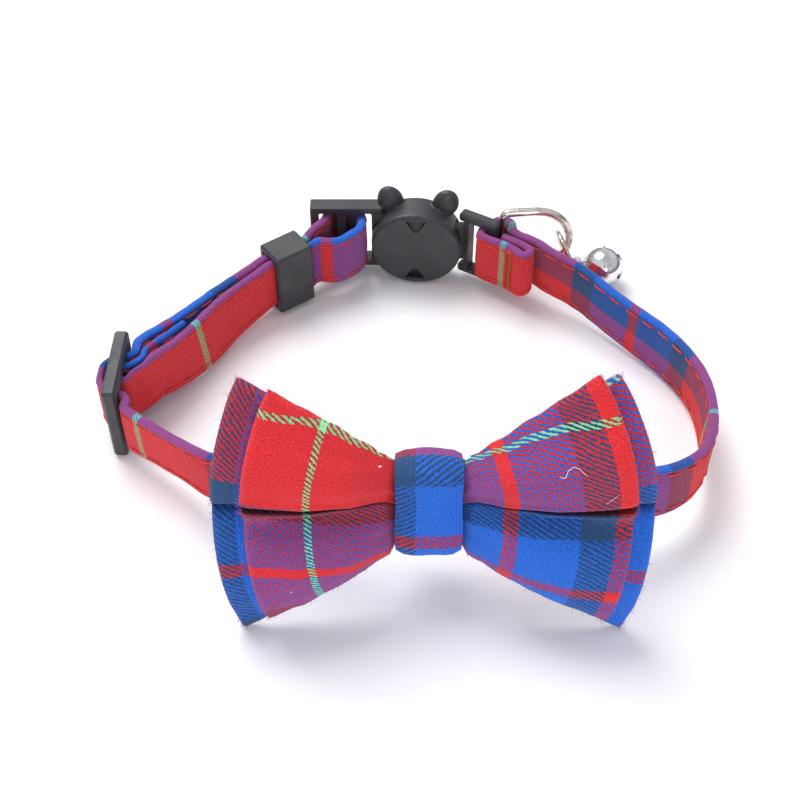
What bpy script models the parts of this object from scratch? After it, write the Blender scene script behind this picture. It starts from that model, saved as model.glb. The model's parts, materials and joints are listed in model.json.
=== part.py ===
"""Pet bow tie collar: a buckled tartan band that stands on its edge, with a layered bow, a slider, a keeper,
a breakaway buckle, a D-ring and a bell. Metres, +Z up, +X to the wearer's left, the bow faces -Y."""

from math import atan2, ceil, cos, pi, radians, sin
from typing import NamedTuple

import bmesh
import bpy
from mathutils import Matrix, Vector

# Neck loop
LOOP_WIDTH = 0.095  # middle of the band to middle of the band, along X
LOOP_DEPTH = 0.066  # the same along Y
GAP = 0.0003  # between pieces that touch

# Band
STRAP_WIDTH = 0.010
STRAP_THICKNESS = 0.0015
STRAP_WRAP = 0.0008  # the sewn end where it is pressed round the slider's middle bar
STRAP_PRESSED = 0.0011  # the long run where it crosses over that bar
STRAP_TAIL = 0.0010  # the end that lies between the two layers
STRAP_EDGE = 0.30  # rounding of the band's edges, a share of its thickness

# Slider, a plate with two slots
SLIDER_HEIGHT = 0.0146
SLIDER_PLATE = 0.0022
SLIDER_END_BAR = 0.0021
SLIDER_MIDDLE_BAR = 0.0018
SLIDER_MIDDLE_THICK = 0.0014
SLIDER_SLOT = 0.0041
SLIDER_ROUND = 0.0004

# Keeper, a sleeve
KEEPER_LENGTH = 0.0072
KEEPER_WALL = 0.0010
KEEPER_RIM = 0.0008
KEEPER_ROUND = 0.0004

# Buckle
BUCKLE_CENTRE_Z = 0.0080
FRAME_THICK = 0.0028
FRAME_ROUND = 0.0004
DISC_WIDTH = 0.0160
DISC_HEIGHT = 0.0154
DISC_THICK = 0.0056
DISC_ROUND = 0.0005
DISC_TURN = radians(-6)  # the round plate faces slightly to the slider's side
EAR_APART = 0.0096  # between the middles of the two ears
EAR_RISE = 0.0073
EAR_RADIUS = 0.0023
EAR_THICK = 0.0024
NOTCH_WIDTH = 0.0036
NOTCH_HEIGHT = 0.0023
NOTCH_DEPTH = 0.0012
HEAD_END_BAR = 0.0014
HEAD_FRONT_SLOT = 0.0032
HEAD_MIDDLE_BAR = 0.0018
HEAD_BACK_SLOT = 0.0044
TONGUE_BAR = 0.0018
TONGUE_BAR_THICK = 0.0016
TONGUE_SLOT = 0.0034
TONGUE_POST = 0.0009
TONGUE_HORN = 0.0012  # the rails reach this far past the post, beside the round plate
TONGUE_LENGTH = 0.0075
TONGUE_THICK = 0.0018
TONGUE_HEIGHT = 0.0074
TONGUE_ANGLE = radians(-30)
TONGUE_FRAME_THICK = 0.0022
TONGUE_FRAME_SET = 0.0004  # the frame's rails lie this far outside its end bar
RAIL = 0.0013

# Metal
D_WIRE = 0.0015
D_RADIUS = 0.0066
D_ARM = 0.0055
D_CORNER = 0.0012
D_ALONG = 0.0006  # its bar, from the middle of the buckle's end bar along the band
D_LIFT = 0.0006  # its middle above the buckle's
D_WAY = radians(5)
JUMP_WIRE = 0.0009
JUMP_RADIUS = 0.0036
JUMP_AT = 0.93  # its middle along the D-ring's bow, a share of that radius
JUMP_SET = (0.0, -0.0004, -0.0025)
JUMP_LONG = (0.40, -0.44, -0.80)  # along the ring, towards the bell
JUMP_LOOK = (0.1, 0.7, -0.7)  # square to the ring
BELL_RADIUS = 0.0037
BELL_WALL = 0.0004
BELL_SLOT = 0.0007
BELL_SEAM = 0.00025
HOOP_WIRE = 0.0007
HOOP_RADIUS = 0.0016

# Bow
BOW_WIDTH = 0.0610
BACK_RISE = 0.0007  # the wings' middles lie this much higher than the knot's at their tips
BACK_SHIFT = 0.0006  # and this much further to the right
BOW_HEIGHT = 0.0400
BOW_LEAN = radians(20.7)
FRONT_WIDTH = 0.0532
FRONT_HEIGHT = 0.0362
FRONT_RISE = 0.0028
FRONT_SHIFT = 0.0012
FRONT_THICK = 0.0022
BACK_THICK = 0.0018
LAYER_GAP = 0.0007  # more room between the two layers out on the wings
PINCH_THICK = 0.0012  # of either layer inside the knot
PINCH_HEIGHT = 0.0124
PLEAT = 0.0036
PINCH_PLEAT = 0.0009
WING_FORWARD = 0.0050  # how far the wings' ends reach in front of the pinched middle
KNOT_WIDTH = 0.0094
KNOT_WALL = 0.0010
KNOT_CORNER = 0.0020
CARRIER_WIDTH = 0.0080
CARRIER_DROP = 0.0020  # the band passes this far below the knot's middle
CARRIER_WALL = 0.0007
CARRIER_CORNER = 0.0006

# Places, in plan
SLIDER_PLACE = (-0.0445, -0.0055)
SLIDER_HEADING = radians(89)
KEEPER_PLACE = (-0.0196, 0.0240)
KEEPER_HEADING = radians(36)
KEEPER_LIFT = 0.0070
DISC_PLACE = (0.0030, 0.0312)
FRAME_SET = 0.0021  # the head's frame lies this far behind the middle of the round plate
FRAME_Y = DISC_PLACE[1] + FRAME_SET
TONGUE_PLACE = (0.0161, 0.0280)
BOW_PLACE = (0.0040, -0.0377)  # the front of the knot
BELL_PLACE = (0.0362, 0.0285)


class Bend(NamedTuple):
    """One place along the band: shares of the loop's half sizes and of the band's width."""

    across: float
    along: float
    lift: float
    lean: float  # degrees, the top edge outwards
    slack: float = 0.0  # more room between the two layers, in band widths


RIGHT_SIDE = (
    Bend(0.655, 0.580, 0.26, 0),
    Bend(0.745, 0.452, 0.16, 0),
    Bend(0.825, 0.333, 0.10, 1),
    Bend(0.909, 0.206, 0.06, 2),
    Bend(0.977, 0.055, 0.05, 2),
    Bend(1.016, -0.121, 0.08, 2),
    Bend(1.020, -0.318, 0.16, 2),
    Bend(0.997, -0.515, 0.28, 1),
    Bend(0.944, -0.685, 0.41, 0),
    Bend(0.864, -0.800, 0.52, -3),
    Bend(0.758, -0.872, 0.63, -7),
    Bend(0.600, -0.912, 0.77, -11),
    Bend(0.420, -0.925, 0.91, -16),
)
FRONT_LEFT = (
    Bend(-0.230, -0.905, 0.89, -15),
    Bend(-0.430, -0.835, 0.70, -8),
    Bend(-0.590, -0.735, 0.46, -2),
    Bend(-0.695, -0.610, 0.34, 2),
    Bend(-0.790, -0.500, 0.28, 2),
    Bend(-0.860, -0.425, 0.26, 1),
)
LEFT_SIDE = (
    Bend(-0.862, 0.105, 0.22, 3, 0.27),
    Bend(-0.821, 0.164, 0.18, 6, 0.24),
    Bend(-0.766, 0.248, 0.14, 9, 0.18),
    Bend(-0.699, 0.364, 0.12, 9, 0.10),
    Bend(-0.651, 0.448, 0.12, 7, 0.05),
    Bend(-0.606, 0.512, 0.14, 5, 0.02),
    Bend(-0.556, 0.588, 0.16, 2, 0.01),
)


class Offset(NamedTuple):
    """A place of the band beside a bar, in band thicknesses: along from its middle, and out from a lane."""

    along: float
    out: float


# The end folded inside, the layer outside it, and the run beyond the D-ring
HEM_END = (Offset(1.3, 0.03), Offset(3.0, 0.03), Offset(4.3, -0.10), Offset(5.2, -0.63))
HEM_ROLL = (Offset(4.8, -0.47), Offset(3.7, -0.20), Offset(2.7, 0.0), Offset(0.0, 0.0))
HEM_AWAY = (Offset(2.7, 0.07), Offset(4.0, 0.0), Offset(5.6, -0.20), Offset(6.8, -0.60))


class LoopSpot(NamedTuple):
    """A place of the band's loop in the buckle head: band thicknesses from a named place of its frame."""

    beside: str
    along: float
    lane: float  # 0 in the frame's plane, 1 behind it
    out: float


BUCKLE_LOOP = (
    LoopSpot("front_slot", -1.47, 0, -2.67),
    LoopSpot("front_slot", -0.33, 0, -1.20),
    LoopSpot("front_slot", 0.0, 0, 0.13),
    LoopSpot("middle_left", -0.47, 1, -0.27),
    LoopSpot("middle", 0.0, 1, 0.07),
    LoopSpot("middle_right", 0.53, 1, -0.27),
    LoopSpot("back_slot", 0.0, 0, 0.07),
    LoopSpot("disc", -1.10, 0, -1.20),
    LoopSpot("disc", -1.43, 0, -2.73),
    LoopSpot("disc", -2.23, 0, -3.60),
    LoopSpot("disc", -3.50, 0, -4.67),
    LoopSpot("middle_left", -0.53, 0, -5.00),
    LoopSpot("front_slot", -1.00, 0, -4.90),
)


class Fold(NamedTuple):
    """A place across a pleat: shares of half the wing's height and of the pleat's height."""

    out: float
    rise: float


PLEAT_FORM = (
    Fold(0.0, 0.0), Fold(0.10, 0.38), Fold(0.22, 0.72), Fold(0.40, 0.96),
    Fold(0.60, 1.00), Fold(0.80, 0.80), Fold(1.00, 0.36), Fold(1.30, 0.10),
)


class Spread(NamedTuple):
    """A place out along a wing, from the knot's edge to the tip, in shares."""

    out: float
    height: float  # from the pinched height to the full height
    forward: float
    pleat: float
    thick: float  # from the pinched thickness to the full one


WING_FORM = (
    Spread(0.0, 0.00, 0.00, 0.00, 0.00), Spread(0.10, 0.09, 0.16, 0.45, 0.30),
    Spread(0.25, 0.27, 0.42, 0.95, 0.70), Spread(0.50, 0.54, 0.74, 1.00, 1.00),
    Spread(0.75, 0.78, 0.93, 0.82, 1.00), Spread(1.00, 1.00, 1.00, 0.60, 1.00),
)
TOP_CORNER = 0.82  # half width at a wing's top corner, a share of its half width
BOTTOM_CORNER = 0.88


class Station(NamedTuple):
    """A place on the band's middle line, the way its width points, and its thickness there."""

    place: Vector
    up: Vector
    thick: float


def clear_scene():
    for thing in list(bpy.data.objects):
        bpy.data.objects.remove(thing, do_unlink=True)


def material(name, colour, roughness, metallic=0.0):
    made = bpy.data.materials.new(name)
    made.use_nodes = True
    shader = made.node_tree.nodes["Principled BSDF"]
    shader.inputs["Base Color"].default_value = (*colour, 1.0)
    shader.inputs["Roughness"].default_value = roughness
    shader.inputs["Metallic"].default_value = metallic
    made.diffuse_color = (*colour, 1.0)
    return made


def object_of(name, points, faces, surface, smooth=40):
    mesh = bpy.data.meshes.new(name)
    mesh.from_pydata([tuple(p) for p in points], [], faces)
    return finish(name, mesh, surface, smooth)


def finish(name, mesh, surface, smooth=40):
    work = bmesh.new()
    work.from_mesh(mesh)
    bmesh.ops.recalc_face_normals(work, faces=work.faces)
    bmesh.ops.triangulate(work, faces=work.faces)
    work.to_mesh(mesh)
    work.free()
    mesh.shade_smooth()
    mesh.set_sharp_from_angle(angle=radians(smooth))
    made = bpy.data.objects.new(name, mesh)
    bpy.context.scene.collection.objects.link(made)
    if surface:
        mesh.materials.append(surface)
    return made


def lerp(a, b, share):
    return a + (b - a) * share


def look_up(rows, at, column):
    """A named column of a table at a place between its rows, in a smooth line."""
    at = min(max(at, rows[0][0]), rows[-1][0])
    for low, high in zip(rows, rows[1:]):
        if at <= high[0]:
            share = (at - low[0]) / (high[0] - low[0])
            share = share * share * (3 - 2 * share) * 0.4 + share * 0.6
            return lerp(getattr(low, column), getattr(high, column), share)
    return getattr(rows[-1], column)


def catmull(a, b, c, d, share):
    """A smooth curve from b to c whose speed follows the distances between the places."""
    gaps = [max((q[0] - p[0]).length, 1e-7) ** 0.5 for p, q in ((a, b), (b, c), (c, d))]
    knots = [0.0, gaps[0], gaps[0] + gaps[1], sum(gaps)]
    t = lerp(knots[1], knots[2], share)

    def between(p, q, low, high):
        part = (t - low) / (high - low)
        return tuple(lerp(x, y, part) for x, y in zip(p, q))

    first = between(a, b, knots[0], knots[1])
    second = between(b, c, knots[1], knots[2])
    third = between(c, d, knots[2], knots[3])
    left = between(first, second, knots[0], knots[2])
    right = between(second, third, knots[1], knots[3])
    return between(left, right, knots[1], knots[2])


def smooth_route(stations, fine=0.0003):
    ends = [stations[0], *stations, stations[-1]]
    ends[0] = Station(stations[0].place * 2 - stations[1].place, stations[0].up, stations[0].thick)
    ends[-1] = Station(stations[-1].place * 2 - stations[-2].place, stations[-1].up, stations[-1].thick)
    route = []
    for a, b, c, d in zip(ends, ends[1:], ends[2:], ends[3:]):
        count = max(2, ceil((c.place - b.place).length / fine))
        route += [Station(*catmull(a, b, c, d, i / count)) for i in range(count)]
    route.append(stations[-1])
    return thinned(route)


def thinned(route, turn=radians(13), longest=0.0034):
    """The route with only the places that its bends need."""
    kept = [route[0]]
    heading, gone, bent = None, 0.0, 0.0
    for before, here in zip(route, route[1:]):
        step = here.place - before.place
        gone += step.length
        now = atan2(step.y, step.x)
        if heading is not None:
            bent += abs((now - heading + pi) % (2 * pi) - pi)
        heading = now
        if bent > turn or gone > longest:
            kept.append(here)
            gone, bent = 0.0, 0.0
    if gone > 0:
        kept[-1 if len(kept) > 1 and gone < 0.0004 else len(kept):] = [route[-1]]
    return kept


def band_section(width, thick, edge):
    """Eight corners of a flat band with rounded edges, as steps across and up."""
    half, flat = thick / 2, width / 2
    return (
        (half, flat - edge), (half - edge, flat), (edge - half, flat), (-half, flat - edge),
        (-half, edge - flat), (edge - half, -flat), (half - edge, -flat), (half, edge - flat),
    )


def sweep(route, width, closed=False):
    """Points and faces of a band along a route of stations."""
    points, faces = [], []
    count = len(route)
    for i, here in enumerate(route):
        before = route[i - 1] if closed or i else here
        after = route[(i + 1) % count] if closed or i + 1 < count else here
        up = here.up.normalized()
        side = (after.place - before.place).cross(up).normalized()
        for across, rise in band_section(width, here.thick, here.thick * STRAP_EDGE):
            points.append(here.place + side * across + up * rise)
    for i in range(count if closed else count - 1):
        low, high = 8 * i, 8 * ((i + 1) % count)
        for k in range(8):
            n = (k + 1) % 8
            faces.append((low + k, low + n, high + n, high + k))
    if not closed:
        faces.append(tuple(range(8)))
        faces.append(tuple(8 * (count - 1) + k for k in range(8)))
    return points, faces


def wire(name, line, radius, surface, sides=6):
    """A closed ring of wire through the places of a line."""
    points, faces = [], []
    count = len(line)
    middle = sum(line, Vector()) / count
    flat = (line[0] - middle).cross(line[count // 4] - middle).normalized()
    for i, here in enumerate(line):
        way = (line[(i + 1) % count] - line[i - 1]).normalized()
        out = way.cross(flat).normalized()
        for k in range(sides):
            turn = 2 * pi * k / sides
            points.append(here + out * (radius * cos(turn)) + flat * (radius * sin(turn)))
    for i in range(count):
        for k in range(sides):
            n, j = (k + 1) % sides, (i + 1) % count
            faces.append((sides * i + k, sides * i + n, sides * j + n, sides * j + k))
    return object_of(name, points, faces, surface, 60)


def block(name, size, centre, turn=0.0, bevel=0.0, surface=None):
    """A box, its edges rounded, turned about the upright axis."""
    work = bmesh.new()
    bmesh.ops.create_cube(work, size=1.0)
    bmesh.ops.scale(work, vec=Vector(size), verts=work.verts)
    if bevel:
        bmesh.ops.bevel(work, geom=work.edges[:], offset=bevel, segments=1, affect="EDGES", profile=0.5)
    bmesh.ops.rotate(work, verts=work.verts, matrix=Matrix.Rotation(turn, 3, "Z"))
    bmesh.ops.translate(work, verts=work.verts, vec=Vector(centre))
    mesh = bpy.data.meshes.new(name)
    work.to_mesh(mesh)
    work.free()
    return finish(name, mesh, surface, 30)


def drum(name, half_width, half_height, thick, centre, sides=32, bevel=0.0, surface=None):
    """An upright round plate that faces -Y."""
    work = bmesh.new()
    bmesh.ops.create_cone(work, cap_ends=True, segments=sides, radius1=1.0, radius2=1.0, depth=1.0)
    bmesh.ops.rotate(work, verts=work.verts, matrix=Matrix.Rotation(pi / 2, 3, "X"))
    bmesh.ops.scale(work, vec=Vector((half_width, thick, half_height)), verts=work.verts)
    if bevel:
        rims = [e for e in work.edges if abs(e.verts[0].co.y - e.verts[1].co.y) < thick / 2]
        bmesh.ops.bevel(work, geom=rims, offset=bevel, segments=2, affect="EDGES", profile=0.5)
    bmesh.ops.translate(work, verts=work.verts, vec=Vector(centre))
    mesh = bpy.data.meshes.new(name)
    work.to_mesh(mesh)
    work.free()
    return finish(name, mesh, surface, 30)


def wedge(name, outline, near, far):
    """A cutter: an outline in X and Z pushed along Y."""
    count = len(outline)
    points = [(x, y, z) for y in (near, far) for x, z in outline]
    faces = [tuple(range(count)), tuple(range(2 * count - 1, count - 1, -1))]
    faces += [(i, (i + 1) % count, count + (i + 1) % count, count + i) for i in range(count)]
    return object_of(name, points, faces, None)


def combine(base, other, operation):
    """A union or a cut that is worked out at once, after which the other object goes."""
    change = base.modifiers.new(operation.lower(), "BOOLEAN")
    change.operation = operation
    change.object = other
    bpy.context.view_layer.update()
    mesh = bpy.data.meshes.new_from_object(base.evaluated_get(bpy.context.evaluated_depsgraph_get()))
    base.modifiers.clear()
    base.data = mesh
    mesh.shade_smooth()
    mesh.set_sharp_from_angle(angle=radians(30))
    bpy.data.objects.remove(other, do_unlink=True)


def plan_frame(place, heading):
    """A function from steps along and outwards, at a place in plan, to X and Y."""
    ahead = Vector((cos(heading), sin(heading)))
    out = Vector((-ahead.y, ahead.x))

    def at(along, outwards):
        return Vector(place) + ahead * along + out * outwards

    return at


def upright(spot, lift, thick=STRAP_THICKNESS):
    return Station(Vector((spot.x, spot.y, lift + STRAP_WIDTH / 2)), Vector((0, 0, 1)), thick)


def bend_station(row, side=Vector((0, 0)), drop=0.0, thick=STRAP_THICKNESS):
    """The station of a table's row, which may be moved inwards by a drop."""
    lean = radians(row.lean)
    up = Vector((side.x * sin(lean), side.y * sin(lean), cos(lean)))
    x = row.across * LOOP_WIDTH / 2 - side.x * drop
    y = row.along * LOOP_DEPTH / 2 - side.y * drop
    return Station(Vector((x, y, row.lift * STRAP_WIDTH + up.z * STRAP_WIDTH / 2)), up, thick)


def outward(rows, i):
    """The outward direction at a row of a side, square to the line through its neighbours."""
    low, high = rows[max(i - 1, 0)], rows[min(i + 1, len(rows) - 1)]
    dx, dy = (high.across - low.across) * LOOP_WIDTH, (high.along - low.along) * LOOP_DEPTH
    side = Vector((-dy, dx)).normalized()
    return side if side.dot(Vector((rows[i].across, rows[i].along))) > 0 else -side


def side_stations(rows, reverse=False, layer=0.0, thick=STRAP_THICKNESS):
    """Stations along a side; layer 1 is the inner run and a half is the tail between the two."""
    made = []
    for i, row in enumerate(rows):
        drop = layer * (STRAP_THICKNESS + GAP + row.slack * STRAP_WIDTH)
        made.append(bend_station(row, outward(rows, i), drop, thick))
    return made[::-1] if reverse else made


class Bow:
    """The bow's own frame: u to the right, v up the leaning bow, w out of its front."""

    def __init__(self):
        self.up = Vector((0, sin(BOW_LEAN), cos(BOW_LEAN)))
        self.front = Vector((0, -cos(BOW_LEAN), sin(BOW_LEAN)))
        self.pinch_front = -KNOT_WALL - GAP - PINCH_THICK - PINCH_PLEAT
        self.knot_depth = 2 * KNOT_WALL + 2 * GAP + 2 * PINCH_THICK + PINCH_PLEAT + GAP
        self.strap_w = -self.knot_depth - GAP - CARRIER_WALL - GAP - STRAP_THICKNESS / 2
        self.layers = [self.layer(True), self.layer(False)]
        lowest = min(v * self.up.z + w * self.front.z for points, _ in self.layers for _, v, w in points)
        self.origin = Vector((BOW_PLACE[0], BOW_PLACE[1], -lowest))

    def world(self, u, v, w):
        return self.origin + Vector((u, 0, 0)) + self.up * v + self.front * w

    def form(self, u, v):
        """The cloth's fold line w at a place of the bow, and how thick the layers are there."""
        reach = max(abs(u) - KNOT_WIDTH / 2, 0) / (BOW_WIDTH / 2 - KNOT_WIDTH / 2)
        height = self.half_height(reach, FRONT_HEIGHT)
        pleat = lerp(PINCH_PLEAT, PLEAT, look_up(WING_FORM, reach, "pleat"))
        rise = pleat * look_up(PLEAT_FORM, abs(v) / height, "rise")
        return self.pinch_front + WING_FORWARD * look_up(WING_FORM, reach, "forward") + rise, reach

    def half_height(self, reach, full):
        return lerp(PINCH_HEIGHT, full, look_up(WING_FORM, reach, "height")) / 2

    def layer(self, is_front):
        """A closed cloth layer: its front and back skins and the strip round its edge."""
        width, full, thick, rise, shift = BOW_WIDTH, BOW_HEIGHT, BACK_THICK, BACK_RISE, BACK_SHIFT
        if is_front:
            width, full, thick, rise, shift = FRONT_WIDTH, FRONT_HEIGHT, FRONT_THICK, FRONT_RISE, FRONT_SHIFT
        outs = [0.0, 0.16, 0.24, 0.34, 0.48, 0.64, 0.80, 0.93, 1.0]
        shares = [-s for s in reversed(outs[1:])] + outs
        rises = [-1.0, -0.93, -0.75, -0.55, -0.35, -0.18, -0.07, 0.0, 0.07, 0.18, 0.35, 0.55, 0.75, 0.93, 1.0]
        skins = [[], []]
        for a in shares:
            for b in rises:
                u, v, reach = self.outline(a, b, width, full)
                u += shift * reach
                v += rise * reach
                fold, reach = self.form(u, v)
                here = lerp(PINCH_THICK, thick, look_up(WING_FORM, reach, "thick"))
                here *= 0.45 if abs(b) == 1 or abs(a) == 1 else 1.0
                middle = lerp(PINCH_THICK, thick, look_up(WING_FORM, reach, "thick")) / 2
                apart = GAP + LAYER_GAP * min(1.0, 5 * reach)
                middle = fold + middle if is_front else fold - apart - middle
                skins[0].append((u, v, middle + here / 2))
                skins[1].append((u, v, middle - here / 2))
        rows, count = len(rises), len(shares) * len(rises)
        faces = []
        for i in range(len(shares) - 1):
            for j in range(rows - 1):
                quad = (rows * i + j, rows * (i + 1) + j, rows * (i + 1) + j + 1, rows * i + j + 1)
                faces += [quad, tuple(count + k for k in reversed(quad))]
        rim = [rows * i for i in range(len(shares))]
        rim += [rows * (len(shares) - 1) + j for j in range(1, rows)]
        rim += [rows * i + rows - 1 for i in range(len(shares) - 2, -1, -1)]
        rim += list(range(rows - 2, 0, -1))
        faces += [(a, b, b + count, a + count) for a, b in zip(rim, rim[1:] + rim[:1])]
        return skins[0] + skins[1], faces

    def outline(self, a, b, width, full):
        """The place in the layer's own outline, whose tips bulge between two corners."""
        corner = TOP_CORNER if b > 0 else BOTTOM_CORNER
        tip = width / 2 * lerp(1.0, corner, abs(b) ** 1.8)
        u = a * tip
        reach = max(abs(u) - KNOT_WIDTH / 2, 0) / (tip - KNOT_WIDTH / 2)
        return u, b * self.half_height(reach, full), reach

    def place(self, name, points, faces, surface):
        return object_of(name, [self.world(*p) for p in points], faces, surface, 50)


def round_rectangle(half_v, half_w, corner, steps=4):
    """A rounded rectangle about the middle, as (v, w) pairs in order."""
    line = []
    for quarter, (sv, sw) in enumerate(((1, 1), (-1, 1), (-1, -1), (1, -1))):
        for k in range(steps):
            turn = pi / 2 * (quarter + k / (steps - 1))
            v, w = sv * (half_v - corner), sw * (half_w - corner)
            line.append((v + corner * cos(turn), w + corner * sin(turn)))
    return line


def band_round(bow, name, half_v, half_w, middle, wall, corner, width, surface):
    """A flat band closed round the bow or round the strap, its width along u."""
    line = round_rectangle(half_v, half_w, corner)
    middle_v, middle_w = middle
    route = [Station(bow.world(0, middle_v + v, middle_w + w), Vector((1, 0, 0)), wall) for v, w in line]
    points, faces = sweep(route, width, closed=True)
    return object_of(name, points, faces, surface, 50)


def strap_route(bow):
    """Every station of the band in order, from its hem by the buckle to its tail in the slider."""
    lane = STRAP_THICKNESS + GAP
    half = STRAP_THICKNESS / 2
    frame_lift = BUCKLE_CENTRE_Z - STRAP_WIDTH / 2
    slider_lift = GAP + SLIDER_HEIGHT / 2 - STRAP_WIDTH / 2
    keeper_lift = KEEPER_LIFT - STRAP_WIDTH / 2

    bar = plan_frame(TONGUE_PLACE, TONGUE_ANGLE)
    near = TONGUE_BAR_THICK / 2 + GAP + half
    turn = TONGUE_BAR / 2 + GAP + half
    tail = near - lane
    ring_out = d_ring_outward()
    pocket = D_WIRE / 2 + GAP + half
    hem = [(spot.along * STRAP_THICKNESS, spot.out * STRAP_THICKNESS - tail) for spot in HEM_END]
    hem += [(spot.along * STRAP_THICKNESS, spot.out * STRAP_THICKNESS - near) for spot in HEM_ROLL]
    hem += [(-turn * 0.75, -near * 0.78), (-turn, 0), (-turn * 0.9, near * 0.9)]
    for angle in (180, 135, 90, 45, 0):
        reach = pocket * (1.0 if angle % 90 == 0 else 0.99)
        hem.append((D_ALONG + reach * cos(radians(angle)), ring_out + reach * sin(radians(angle))))
    hem += [(spot.along * STRAP_THICKNESS, spot.out * STRAP_THICKNESS + near) for spot in HEM_AWAY]
    stations = [upright(bar(s, n), frame_lift) for s, n in hem]

    stations += side_stations(RIGHT_SIDE)
    for u in (CARRIER_WIDTH, CARRIER_WIDTH / 3, -CARRIER_WIDTH / 3, -CARRIER_WIDTH):
        stations.append(Station(bow.world(u, -CARRIER_DROP, bow.strap_w), bow.up, STRAP_THICKNESS))
    stations += side_stations(FRONT_LEFT)

    at = plan_frame(SLIDER_PLACE, SLIDER_HEADING)
    plate = SLIDER_PLATE / 2
    inside = plate + GAP + half
    length = SLIDER_END_BAR + SLIDER_SLOT + SLIDER_MIDDLE_BAR / 2
    edge = length - SLIDER_END_BAR
    mid, mid_thick = SLIDER_MIDDLE_BAR / 2, SLIDER_MIDDLE_THICK / 2
    wrap_s, wrap_n = mid + GAP + STRAP_WRAP / 2, mid_thick + GAP + STRAP_WRAP / 2
    over = wrap_n + STRAP_WRAP / 2 + GAP + STRAP_PRESSED / 2
    bar_clear = STRAP_PRESSED / 2 + GAP
    crossing = (
        (edge + SLIDER_SLOT / 4, -inside, 0.85),
        (edge, -plate - bar_clear - GAP / 3, 0.4),
        (edge - bar_clear, -plate, 0.0),
        (edge - bar_clear - SLIDER_SLOT / 10, plate * 0.3, 0.0),
        (wrap_s + STRAP_WRAP / 2 + bar_clear, plate + 2 * GAP, 0.0),
        (wrap_s, over - GAP / 2, 0.0),
    )
    run = [(-length, -inside, 1.0)]
    run += [(-s, n, share) for s, n, share in crossing]
    run += [(0, over, 0.0)]
    run += list(reversed(crossing))
    run += [(length, -inside, 1.0)]
    for s, n, share in run:
        stations.append(upright(at(s, n), slider_lift, lerp(STRAP_PRESSED, STRAP_THICKNESS, share)))
    stations += side_stations(LEFT_SIDE)

    sleeve = plan_frame(KEEPER_PLACE, KEEPER_HEADING)
    through = [KEEPER_LENGTH * share for share in (-0.56, -0.3, 0.3, 0.56)]
    stations += [upright(sleeve(s, lane / 2), keeper_lift) for s in through]
    frame = head_frame()
    behind = FRAME_THICK / 2 + GAP + half
    for spot in BUCKLE_LOOP:
        x = getattr(frame, spot.beside) + spot.along * STRAP_THICKNESS
        y = FRAME_Y + spot.lane * behind + spot.out * STRAP_THICKNESS
        stations.append(upright(Vector((x, y)), frame_lift))
    stations += [upright(sleeve(s, -lane / 2), keeper_lift) for s in reversed(through)]

    stations += side_stations(LEFT_SIDE, reverse=True, layer=1.0)
    inner = -inside - STRAP_THICKNESS / 2 - 2 * GAP - STRAP_TAIL - STRAP_THICKNESS / 2
    between = -inside - half - GAP - STRAP_TAIL / 2
    thin = STRAP_WRAP
    wrap = (
        (edge - SLIDER_SLOT / 5, inner + GAP / 3, STRAP_THICKNESS),
        (SLIDER_SLOT * 0.53, inner + STRAP_THICKNESS * 0.8, STRAP_TAIL),
        (SLIDER_SLOT / 10, -wrap_n - STRAP_THICKNESS * 0.67, thin),
        (-wrap_s * 0.7, -wrap_n * 1.02, thin),
        (-wrap_s, 0, thin),
        (-wrap_s * 0.7, wrap_n * 0.86, thin),
        (0, wrap_n, thin),
        (wrap_s * 0.7, wrap_n * 0.86, thin),
        (wrap_s, 0, thin),
        (wrap_s + SLIDER_SLOT / 20, -wrap_n, thin),
        (edge - SLIDER_SLOT * 0.3, between + GAP, STRAP_TAIL),
        (edge + SLIDER_SLOT * 0.15, between, STRAP_TAIL),
    )
    stations += [upright(at(s, n), slider_lift, thick) for s, n, thick in wrap]
    stations += side_stations(LEFT_SIDE[1:3], layer=0.5, thick=STRAP_TAIL)
    return stations


def d_ring_outward():
    """The bar of the D-ring lies between the buckle's end bar and the band's outward fold."""
    return TONGUE_BAR_THICK / 2 + 3.5 * GAP + D_WIRE / 2


class HeadFrame(NamedTuple):
    """X places of the buckle head's frame, from its left end to the disc."""

    left: float
    front_slot: float
    middle_left: float
    middle: float
    middle_right: float
    back_slot: float
    disc: float


def head_frame():
    disc = DISC_PLACE[0] - DISC_WIDTH / 2
    middle_right = disc - HEAD_BACK_SLOT
    middle_left = middle_right - HEAD_MIDDLE_BAR
    left = middle_left - HEAD_FRONT_SLOT - HEAD_END_BAR
    return HeadFrame(
        left, middle_left - HEAD_FRONT_SLOT / 2, middle_left, (middle_left + middle_right) / 2, middle_right,
        disc - GAP * 2 - STRAP_THICKNESS, disc,
    )


def make_strap(bow, cloth):
    points, faces = sweep(smooth_route(strap_route(bow)), STRAP_WIDTH)
    return object_of("strap", points, faces, cloth, 50)


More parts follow.
